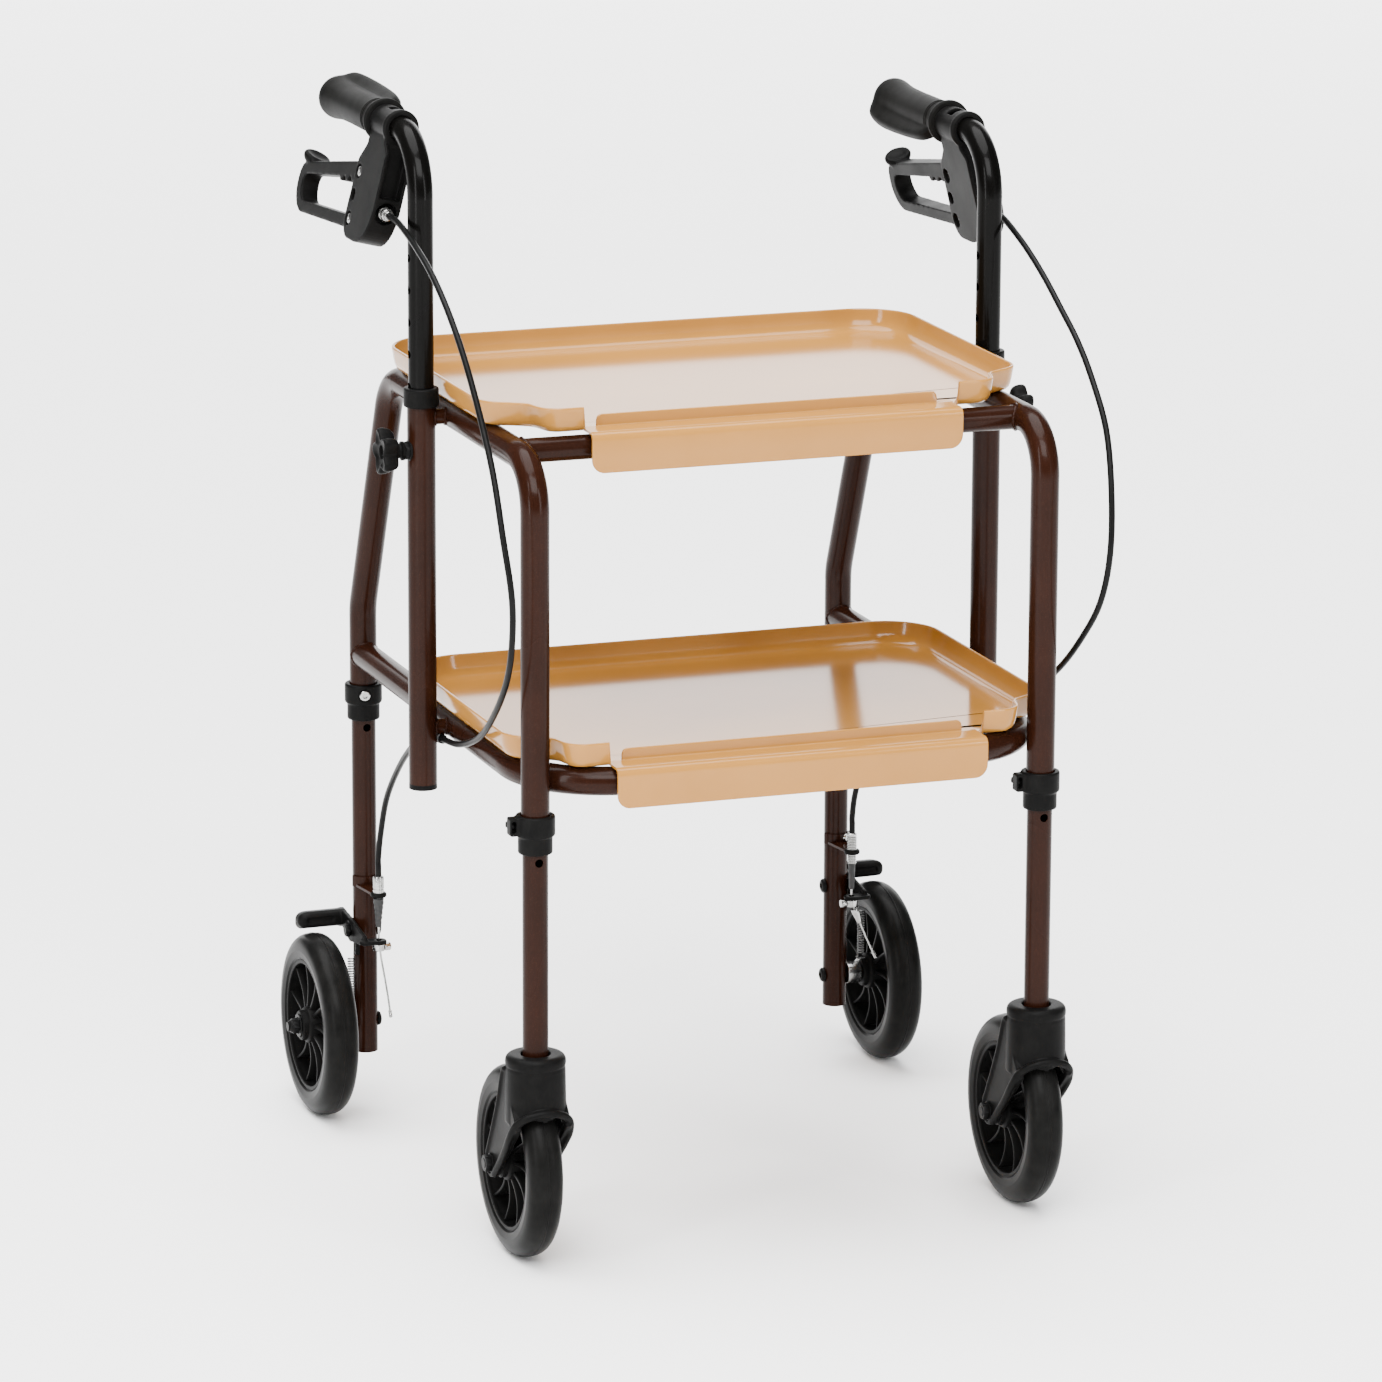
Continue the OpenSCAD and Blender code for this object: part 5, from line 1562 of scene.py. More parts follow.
@dataclass(frozen=True)
class BrakeLever:
    """The brake's loop lever with finger ribs and a thumb pad, drawn about the grip's axis."""

    side: Side
    half: float = 7.6
    arm_half: float = 5.5
    web_half: float = 5.85
    pin_y: float = 51.0
    pin_z: float = -42.5
    stop_z: float = -80.0

    OUTER = ((59, -89, 3), (206, -98, 22), (201, -58.5, 13), (59, -34.5, 3))
    WINDOW_LOW = ((65, -79, 5), (193.5, -88, 13), (189.5, -66.6, 8.5))
    WINDOW_END = (65.0, -48.5, 5.0)
    RIBS = (103.0, 90.0, 77.0)

    def pad(self) -> Shape:
        """The dished thumb pad on the loop's upper rear corner, tipped to the front.

        Returns:
            The shape, in millimetres.
        """
        profile = [
            (0, -6.4), (5.0, -6.2), (7.6, -5.0), (10.0, -2.8), (11.2, -0.4), (11.3, 1.6), (10.4, 3.0),
            (8.8, 3.2), (5.0, 2.2), (0, 1.8),
        ]
        place = aim((0, 190.5, -53.2), (0.15, -0.32, 0.93)) @ Matrix.Diagonal((1.0, 0.88, 1.0, 1.0))
        return revolve(profile, 56).moved(place)

    def window(self) -> Outline:
        """The finger window, with ribs along its upper edge.

        Returns:
            The outline's points.
        """
        end_y, end_z, _ = self.WINDOW_END
        start_y, start_z, _ = self.WINDOW_LOW[-1]
        slope = (end_z - start_z) / (end_y - start_y)
        corners = list(self.WINDOW_LOW)
        for rib in self.RIBS:
            for offset, deep in ((5.0, 0.0), (2.6, 3.6), (-2.6, 3.6), (-5.0, 0.0)):
                y = rib + offset
                corners.append((y, end_z + slope * (y - end_y) - deep, 1.3))
        return rounded(corners + [self.WINDOW_END], 10)

    def loop(self) -> Shape:
        """The loop, which grows wider towards its rear.

        Returns:
            The shape, in millimetres.
        """
        outer = rounded(self.OUTER, 24)
        front, rear = self.OUTER[0][0], self.OUTER[1][0]
        growth = (self.half - self.arm_half) / (rear - front)
        halves = [self.arm_half + growth * (p.x - front) for p in outer]
        return loft(
            [[Vector((sign * half, p.x, p.y)) for half, p in zip(halves, outer)] for sign in (-1, 1)]
        )

    def forms(self) -> Shape:
        """The loop, its web in the housing and the pad.

        Returns:
            The shape, in millimetres.
        """
        shape = self.loop()
        web = [
            (51, -35.5), (65, -36.5), (65, -48.5), (53, -52.5), (53, -71), (65, -79), (65, -88), (43, -86),
            (43, -42.5),
        ]
        shape.add(plate(web, -self.web_half, self.web_half))
        shape.add(rod(7, -self.web_half, self.web_half).moved(aim((0, self.pin_y, self.pin_z), (1, 0, 0))))
        return shape.add(self.pad())

    def hollows(self) -> Shape:
        """The finger window, the pivot's hole and the stop pin's slot.

        Returns:
            The shape, in millimetres.
        """
        shape = plate(self.window(), -20, 20)
        across = aim((0, self.pin_y, self.pin_z), (1, 0, 0))
        shape.add(rod(3.1, -20, 20).moved(across))
        slot = strap((self.pin_y - 10, self.stop_z + 1), 3.6, (self.pin_y, self.stop_z), 3.3)
        return shape.add(plate(slot, -20, 20))

    def make(self, palette: Palette) -> bpy.types.Object:
        """Builds the lever where its solid lies.

        Args:
            palette: The walker's finishes.

        Returns:
            The piece.
        """
        place, name = brake_frame(), self.side.name("brake_lever")
        return Moulding(name, name, 0.7, 10).make(
            self.forms().moved(place).on(self.side, dropped=True),
            palette.plastic,
            self.hollows().moved(place).on(self.side, dropped=True),
        )


@dataclass(frozen=True)
class BrakeArm:
    """The rocking brake arm: plate beside the leg, ear for the wire and a rounded shoe over the tyre."""

    side: Side
    plate_out: float = -HALF_TRACK - 13.15
    plate_in: float = -HALF_TRACK - 10.15
    shoe_end: float = -HALF_TRACK - 51.0
    ear_low: float = 150.0
    ear_high: float = 153.0

    # Distance from the shoe's end, and how far the section is drawn in there
    SHOE_END = (
        (0, 6.0), (0.5, 4.4), (1.6, 2.7), (3.4, 1.2), (6.0, 0.3), (9.0, 0.0), (34.5, 0.0), (40.8, 0.0),
    )

    def shoe(self) -> Shape:
        """The shoe's bar with its rounded end.

        Returns:
            The shape, in millimetres.
        """
        corners = [(225.5, 151.5, 5.0), (245, 145.5, 5.0), (245, 162.3, 6.0), (225.5, 165.8, 6.0)]
        rings = []
        for out, shrink in self.SHOE_END:
            ring = inset(rounded(corners, 6), shrink)
            rings.append([Vector((self.shoe_end + out, p.x, p.y)) for p in ring])
        return loft(rings)

    def forms(self) -> Shape:
        """The rocker plate, the ear, the spring's lug and the shoe.

        Returns:
            The shape, in millimetres.
        """
        pivot = (REAR_Y, BRAKE_PIVOT_Z)
        shape = plate(strap(pivot, 10, (WIRE_Y + 2, BRAKE_PIVOT_Z), 4.5), self.plate_out, self.plate_in)
        shape.add(plate(strap(pivot, 10, (236, 158.0), 6.6), self.plate_out - 1.2, self.plate_in))
        ear = strap((self.plate_in, WIRE_Y), 6.5, (-HALF_TRACK, WIRE_Y), 6.5)
        shape.add(loft([[Vector((p.x, p.y, z)) for p in ear] for z in (self.ear_low, self.ear_high)]))
        shape.add(block((-226.1, 191, 135.5), (self.plate_in, 197, 138.5)))
        shape.add(block((self.plate_out, 191, 135.5), (self.plate_in, 197, 150)))
        return shape.add(self.shoe())

    def hollows(self) -> Shape:
        """The pivot's hole, the nut's room, the wire's hole, the tyre's room and the shoe's groove.

        Returns:
            The shape, in millimetres.
        """
        pivot = aim((self.plate_out, REAR_Y, BRAKE_PIVOT_Z), (-1, 0, 0))
        shape = rod(4.1, -10, 10).moved(pivot).add(rod(7.2, 0.1, 20).moved(pivot))
        shape.add(rod(2.1, 140, 160).moved(Matrix.Translation((-HALF_TRACK, WIRE_Y, 0))))
        shape.add(rod(79, 0.1, 80, 0.4, 128).moved(aim((self.plate_out, REAR_Y, WHEEL_R), (-1, 0, 0))))
        groove = [Vector((x, 223.6, 158.4)) for x in (self.shoe_end + 7, self.shoe_end + 30)]
        return shape.add(sweep(groove, 3.6, 20))

    def make(self, palette: Palette) -> bpy.types.Object:
        """Builds the arm where its solid lies.

        Args:
            palette: The walker's finishes.

        Returns:
            The piece.
        """
        name = self.side.name("brake_arm")
        return Moulding(name, name, 0.7, 4).make(
            self.forms().on(self.side), palette.plastic, self.hollows().on(self.side)
        )


@dataclass(frozen=True)
class CableStop:
    """The cable's bracket on a rear leg: a saddle, a thin plate and the ring that the cable ends in."""

    side: Side
    leg_r: float = 9.9
    low: float = 190.0

    def saddle(self) -> Shape:
        """The curved strip against the leg, with the plate to the ring.

        Returns:
            The shape, in millimetres.
        """
        strip = []
        for r, turn in ((self.leg_r, 1), (self.leg_r + 1.8, -1)):
            for k in range(21):
                a = math.radians(-90 + turn * (-78 + 156 * k / 20))
                strip.append((r * math.cos(a), r * math.sin(a)))
        place = Matrix.Translation((-HALF_TRACK, REAR_Y, 0))
        shape = loft([[Vector((x, y, z)) for x, y in strip] for z in (self.low, self.low + 9)])
        tongue = [(-9.6, -6.4), (-5.6, -34), (5.6, -34), (9.6, -6.4), (6, -10.6), (0, -11.6), (-6, -10.6)]
        shape.add(loft([[Vector((x, y, z)) for x, y in tongue] for z in (self.low + 0.3, self.low + 2.3)]))
        return shape.moved(place)

    def ring(self) -> Shape:
        """The ring round the cable's adjuster."""
        profile = rounded([(3.05, -0.9, 0.5), (6.6, -0.9, 1.6), (6.6, 3.05, 1.6), (3.05, 3.05, 0.5)], 5)
        return revolve(profile, 48, closed=True).moved(Matrix.Translation((-HALF_TRACK, WIRE_Y, self.low)))

    def screw(self) -> Shape:
        """The round screw that holds the saddle.

        Returns:
            The shape, in millimetres.
        """
        head = [(0, 2.6), (1.2, 2.6), (1.5, 3.4), (2.6, 3.3), (3.3, 2.6), (3.5, 1.7), (0, 1.7)]
        angle = math.radians(-118)
        out = Vector((math.cos(angle), math.sin(angle), 0))
        base = Vector((-HALF_TRACK, REAR_Y, self.low + 5.6)) + out * self.leg_r
        return revolve(head, 32).moved(aim(base, out))

    def make(self, palette: Palette) -> None:
        """Builds the bracket, its ring and its screw.

        Args:
            palette: The walker's finishes.
        """
        body = self.side.name("rear_leg")
        ring = self.ring().on(self.side).build(self.side.name("cable_stop_ring"), palette.plastic)
        settle(ring, body, "black_plastic", self.side.name("cable_stop"))
        saddle = self.saddle().on(self.side).build(self.side.name("cable_stop_bracket"), palette.paint)
        settle(saddle, body, "frame_paint")
        if self.side is Side.RIGHT:
            screw = self.screw().on(self.side).build(self.side.name("cable_stop_screw"), palette.zinc)
            settle(screw, body, "zinc")


@dataclass(frozen=True)
class WeldBead:
    """A ripple of weld metal where a round bar meets a tube across it."""

    tube: tuple[float, float, float]
    along: tuple[float, float, float]
    tube_r: float
    bar: tuple[float, float, float]
    bar_r: float
    size: float = 1.5
    sunk: float = 0.4

    def line(self) -> list[Vector]:
        """The closed line where the bar's skin meets the tube's.

        Returns:
            The line's points.
        """
        axis, out = Vector(self.along), Vector(self.bar)
        third = axis.cross(out)
        count = 72
        line = []
        for k in range(count):
            a = 2 * math.pi * k / count
            u, v = self.bar_r * math.cos(a), self.bar_r * math.sin(a)
            reach = math.sqrt(max(0.0, self.tube_r**2 - v**2))
            line.append(Vector(self.tube) + axis * u + third * v + out * reach)
        return line

    def shape(self) -> Shape:
        """The bead's rippled ring.

        Returns:
            The shape, in millimetres.
        """
        line = self.line()
        count, sides = len(line), 8
        rings = []
        for i, here in enumerate(line):
            tangent = (line[(i + 1) % count] - line[i - 1]).normalized()
            across = (Vector(self.bar) - tangent * tangent.dot(Vector(self.bar))).normalized()
            other = tangent.cross(across)
            size = self.size * (1 + 0.13 * math.sin(i * 2 * math.pi / 3.6) + 0.08 * math.sin(i * 0.71))
            rings.append(
                [
                    self.kept_out(here + size * (math.cos(a) * across + math.sin(a) * other))
                    for a in (2 * math.pi * k / sides for k in range(sides))
                ]
            )
        return loft(rings, caps=False, ring=True)

    def kept_out(self, point: Vector) -> Vector:
        """The point, moved out of the tube's bore into its wall.

        Args:
            point: A point of the bead.

        Returns:
            The moved point.
        """
        axis = Vector(self.along)
        foot = Vector(self.tube) + axis * axis.dot(point - Vector(self.tube))
        return foot + (point - foot).normalized() * max((point - foot).length, self.tube_r - self.sunk)


@dataclass(frozen=True)
class Welds:
    """All the beads on the frame, as one painted piece."""

    top_front_y: float = -182.0
    top_rear_y: float = 85.0
    low_rear_y: float = 35.0

    def beads(self) -> list[WeldBead]:
        """The beads of the left side.

        Returns:
            The beads.
        """
        along_y, upright = (0, 1, 0), (0, 0, 1)
        inwards, outwards, forwards = (1, 0, 0), (-1, 0, 0), (0, -1, 0)
        beads = [
            WeldBead((-HALF_TRACK, y, z), along_y, TUBE_R, inwards, RAIL_R)
            for y, z in (
                (self.top_front_y, TOP_RAIL_Z), (self.top_rear_y, TOP_RAIL_Z), (self.low_rear_y, LOW_RAIL_Z)
            )
        ]
        for z in (TOP_RAIL_Z, LOW_RAIL_Z):
            beads.append(WeldBead((-HALF_TRACK, POST_Y, z), along_y, TUBE_R, outwards, STUB_R, 1.2))
            beads.append(WeldBead((-POST_X, POST_Y, z), upright, TUBE_R, inwards, STUB_R, 1.2))
        leg = (-HALF_TRACK, REAR_Y, LOW_RAIL_Z)
        beads.append(WeldBead(leg, upright, TUBE_R, forwards, TUBE_R - 0.4, 1.4))
        return beads

    def make(self, palette: Palette) -> bpy.types.Object:
        """Builds the beads of both sides.

        Args:
            palette: The walker's finishes.

        Returns:
            The piece.
        """
        shape = Shape()
        for side in Side:
            for bead in self.beads():
                shape.add(bead.shape().on(side))
        return settle(shape.build("weld_beads", palette.paint, 75.0), "frame", "frame_paint")


@dataclass(frozen=True)
class RearHardware:
    """Axle, pivot, cable ferrule and spring tab on a rear leg."""

    side: Side
    leg_r: float = 9.85
    hub_in: float = 22.7
    hub_out: float = 56.7
    arm_out: float = 13.15
    stop_z: float = 190.0

    def bolts(self) -> Shape:
        """The dark axle and pivot bolts with their nuts and domed heads.

        Returns:
            The shape, in millimetres.
        """
        shape = Shape()
        axle = aim((-HALF_TRACK, REAR_Y, WHEEL_R), (-1, 0, 0))
        out = self.hub_out + 0.3
        shape.add(rod(4.0, -self.leg_r, out + 10).moved(axle))
        shape.add(hex_head(13.4, out + 1.0, out + 6.3).moved(axle))
        dome = [(0, 9.9), (2.4, 9.6), (4.2, 8.6), (5.3, 7.0), (5.6, 5.8), (0, 5.8)]
        shape.add(revolve([(r, out + h) for r, h in dome], 40).moved(axle))
        low, high = out + 0.05, out + 1.0
        ring = rounded([(6.9, low, 0), (9.7, low, 0.4), (9.7, high, 0.4), (6.9, high, 0)], 3)
        shape.add(revolve(ring, 48, closed=True).moved(axle))
        pivot = aim((-HALF_TRACK, REAR_Y, BRAKE_PIVOT_Z), (-1, 0, 0))
        arm = self.arm_out + 0.3
        shape.add(rod(4.0, -self.leg_r - 1, arm + 4).moved(pivot))
        shape.add(hex_head(12, arm, arm + 3.6).moved(pivot))
        for place in (axle, pivot):
            shape.add(self.domed_head().moved(place))
        return shape

    def domed_head(self) -> Shape:
        """A round head with a hexagon socket, on the inner side of the leg.

        Returns:
            The shape, in millimetres.
        """
        base = -self.leg_r - 0.05
        profile = [(0, 0), (6, 0), (6, 1.2), (5.2, 2.3), (3.6, 2.95), (2.6, 3.0), (2.4, 1.4), (0, 1.4)]
        return revolve([(r, base - h) for r, h in profile], 40)

    def bright(self) -> Shape:
        """The zinc spacer, spring tab, ferrule and adjuster.

        Returns:
            The shape, in millimetres.
        """
        shape = Shape()
        axle = aim((-HALF_TRACK, REAR_Y, WHEEL_R), (-1, 0, 0))
        near, far = self.leg_r + 0.05, self.hub_in - 0.3
        spacer = rounded([(4.05, near, 0), (9, near, 0.6), (9, far, 0.6), (4.05, far, 0)], 4)
        shape.add(revolve(spacer, 48, closed=True).moved(axle))
        cable = Matrix.Translation((-HALF_TRACK, WIRE_Y, self.stop_z))
        ferrule = [(1.1, -1.9), (2.9, -1.9), (3, 0), (3, 3.06)]
        if self.side is Side.LEFT:
            ferrule += [(4.5, 3.06), (4.5, 5.6), (4.1, 5.9), (4.1, 6.5), (4.5, 6.8), (4.5, 15.4), (4.1, 16.6)]
        else:
            for k in range(8):
                low = 3.06 + 1.4 * k
                ferrule += [(3.3, low), (4.2, low + 0.45), (4.2, low + 0.75), (3.3, low + 1.2)]
            ferrule += [(3.4, 14.6), (3.9, 14.9), (3.9, 16.4)]
        ferrule += [(3.2, 17.05), (1.1, 17.05)]
        shape.add(revolve(ferrule, 40, closed=True).moved(cable))
        if self.side is Side.RIGHT:
            thread = [(1.1, -9.0)]
            for k in range(5):
                low = -9.0 + 1.4 * k
                thread += [(3.0, low), (3.7, low + 0.45), (3.7, low + 0.75), (3.0, low + 1.2)]
            shape.add(revolve(thread + [(3.0, -1.9), (1.1, -1.9)], 40, closed=True).moved(cable))
        return shape

    def tab(self) -> Shape:
        """The bent tab that holds the spring's lower end.

        Returns:
            The shape, in millimetres.
        """
        x, y, z = -223.15, REAR_Y - 16, 91.5
        shape = Shape()
        box = [(-3, -3), (3, -3), (3, 3), (-3, 3)]
        shape.add(loft([[Vector((x + a, y + b, h)) for a, b in box] for h in (z, z + 1.5)]))
        plate = [(REAR_Y - 6.2, WHEEL_R + 5.8), (y - 1.5, z), (y + 1.5, z + 1.4), (REAR_Y - 1, WHEEL_R + 8.4)]
        shape.add(loft([[Vector((x + h, a, b)) for a, b in plate] for h in (-0.75, 0.75)]))
        return shape

    def boot(self) -> Shape:
        """The grey tapered boot below the adjuster.

        Returns:
            The shape, in millimetres.
        """
        foot = -26.0 if self.side is Side.LEFT else -31.0
        profile = [(1.1, foot), (2.0, foot), (2.25, foot + 0.6)]
        if self.side is Side.LEFT:
            for k in range(5):
                low = -24 + 4.2 * k
                wide = 2.4 + 0.45 * k
                profile += [
                    (wide - 0.25, low), (wide, low + 0.7), (wide + 0.1, low + 2.2), (wide - 0.1, low + 3.4),
                ]
            profile += [(4.3, -3), (4.4, -2.3), (4.1, -1.95), (1.1, -1.95)]
        else:
            profile += [(2.9, -10.4), (3.2, -9.9), (3.2, -9.1), (1.1, -9.1)]
        return revolve(profile, 32, closed=True).moved(Matrix.Translation((-HALF_TRACK, WIRE_Y, self.stop_z)))

    def make(self, palette: Palette) -> None:
        """Builds the three finishes as three pieces.

        Args:
            palette: The walker's finishes.
        """
        body, node = self.side.name("rear_leg"), self.side.name("rear_fittings")
        bolts = self.bolts().on(self.side).build(self.side.name("rear_bolts"), palette.dark_bolt)
        settle(bolts, body, "black_plastic", node)
        shining = self.bright().add(self.tab()).on(self.side)
        settle(shining.build(self.side.name("rear_ferrule"), palette.zinc), body, "zinc")
        boot = self.boot().on(self.side).build(self.side.name("rear_boot"), palette.boot)
        settle(boot, body, "black_plastic")


@dataclass(frozen=True)
class PinchBolt:
    """The wire's pinch bolt under the brake arm's ear, and the wire's free tail."""

    side: Side
    ear_low: float = BRAKE_PIVOT_Z - 2.55

    # Way of the free tail from the ear's underside
    TAILS = {
        Side.LEFT: (
            (0, -3.4, -4), (0.5, -3.4, -9), (1.5, -5, -18), (2.6, -9, -30), (3.6, -13, -43),
            (4.4, -15.5, -54),
        ),
        Side.RIGHT: (
            (0, -3.4, -4), (-2, -3.6, -9), (-5, -4.4, -17), (-9, -5.6, -27), (-13, -6.8, -37), (-17, -8, -46),
        ),
    }

    def tail(self, at: Vector) -> Shape:
        """The wire's free tail with its crimped end, and on the right a tapered sleeve.

        Args:
            at: The middle of the ear's underside.

        Returns:
            The shape, in millimetres.
        """
        line = [at + p for p in through(self.TAILS[self.side], 5)]
        shape = sweep(line, 0.8, 10)
        crimp = [
            (0, -1), (1.2, -1), (1.4, -0.7), (1.4, 1), (1.1, 1.4), (1.4, 1.8), (1.4, 4.4), (0.9, 5), (0, 5),
        ]
        shape.add(revolve(crimp, 24).moved(aim(line[-1], line[-1] - line[-2])))
        if self.side is Side.RIGHT:
            sleeve = [(0, -1.5), (3.2, -1.5), (3.4, -0.8), (3.3, 2.0), (2.2, 10.4), (1.9, 11.0), (0, 11.0)]
            shape.add(revolve(sleeve, 32).moved(aim(line[5], line[10] - line[5])))
        return shape

    def make(self, palette: Palette) -> bpy.types.Object:
        """Builds the bolt and the crimped tail.

        Args:
            palette: The walker's finishes.

        Returns:
            The piece.
        """
        at = Vector((-HALF_TRACK, WIRE_Y, self.ear_low))
        shape = Shape()
        collar = rounded([(2.1, -6, 0), (5, -6, 0.7), (5, 0, 0.7), (2.1, 0, 0)], 4)
        shape.add(revolve(collar, 40, closed=True).moved(Matrix.Translation(at)))
        shape.add(hex_head(7, 4.7, 9.6).moved(aim(at + Vector((0, 0, -3)), (1, 0, 0))))
        shape.add(self.tail(at))
        piece = shape.on(self.side).build(self.side.name("pinch_bolt_wire"), palette.zinc)
        return settle(piece, self.side.name("brake_arm"), "zinc", self.side.name("pinch_bolt"))


@dataclass(frozen=True)
class LeverHardware:
    """The lever's pins and the cable's adjuster on a brake housing."""

    side: Side
    pin_y: float = 51.0
    pins: tuple[float, float] = (-42.5, -80.0)
    half: float = 7.35
    barrel_y: float = 3.0
    barrel_z: float = -66.0

    def pin(self, z: float) -> Shape:
        """A headed pin through both cheeks, with a shallow round recess at each end.

        Args:
            z: The pin's height from the grip's axis.

        Returns:
            The shape, in millimetres.
        """
        low, high = -self.half - 3.2, self.half + 1.2
        end = [(0, 0.7), (1.2, 0.7), (1.4, 0), (3.3, 0), (4, 0.5), (4, 1.15), (3, 1.15)]
        head = [(r, low + h) for r, h in end]
        other = [(r, low + high - h) for r, h in reversed(head)]
        return revolve(head + other, 36).moved(aim((0, self.pin_y, z), (1, 0, 0)))

    def adjuster(self) -> Shape:
        """The barrel with its lock nut and collar.

        Returns:
            The shape, in millimetres.
        """
        place = aim((0, self.barrel_y, self.barrel_z), (0, -1, 0))
        barrel = [
            (1.2, -11), (3, -11), (3, 0.05), (4.5, 0.05), (4.5, 10.6), (4.1, 11), (3.5, 11), (3.5, 12),
            (3.2, 12.4), (3.5, 12.8), (3.5, 14.6), (3.1, 15), (1.2, 15),
        ]
        shape = revolve(barrel, 40, closed=True)
        shape.add(hex_head(12, 0.05, 4.05))
        knurls = 16
        rib = rod(0.42, 5.2, 10.0, 0.15, 8).moved(Matrix.Translation((4.45, 0, 0)))
        for k in range(knurls):
            shape.add(rib.moved(Matrix.Rotation(2 * math.pi * k / knurls, 4, "Z")))
        return shape.moved(place)

    def make(self, palette: Palette) -> bpy.types.Object:
        """Builds the pins and the adjuster.

        Args:
            palette: The walker's finishes.

        Returns:
            The piece.
        """
        shape = self.adjuster()
        for z in self.pins:
            shape.add(self.pin(z))
        piece = shape.moved(brake_frame()).on(self.side, dropped=True).build(
            self.side.name("lever_pins"), palette.zinc
        )
        return settle(piece, self.side.name("handle"), "zinc", self.side.name("lever_fittings"))


@dataclass(frozen=True)
class CasterHardware:
    """The axle bolt and the stem of a caster."""

    side: Side
    arm_out: float = 22.55
    head: float = 6.0

    def make(self, palette: Palette) -> list[bpy.types.Object]:
        """Builds the dark axle and the bright stem.

        Args:
            palette: The walker's finishes.

        Returns:
            The pieces.
        """
        axle = aim((-HALF_TRACK, FRONT_Y + TRAIL, WHEEL_R), (1, 0, 0))
        out = self.arm_out
        dark = rod(4.0, -out - self.head - 0.4, out + self.head + 0.4)
        dark.add(hex_head(14, out + 1.2, out + self.head)).add(hex_head(14, -out - self.head, -out - 1.2))
        dark.add(rod(7.6, out, out + 1.2, 0.3)).add(rod(7.6, -out - 1.2, -out, 0.3))
        body = self.side.name("caster")
        bolt = dark.moved(axle).on(self.side).build(self.side.name("caster_axle"), palette.dark_bolt)
        settle(bolt, body, "black_plastic", self.side.name("caster_bolts"))
        stem = rod(6, 148.45, 151.95, 0.8).add(rod(4, 148.5, 185))
        place = Matrix.Translation((-HALF_TRACK, FRONT_Y, 0))
        post = stem.moved(place).on(self.side).build(self.side.name("caster_stem"), palette.zinc)
        return [bolt, settle(post, body, "zinc")]


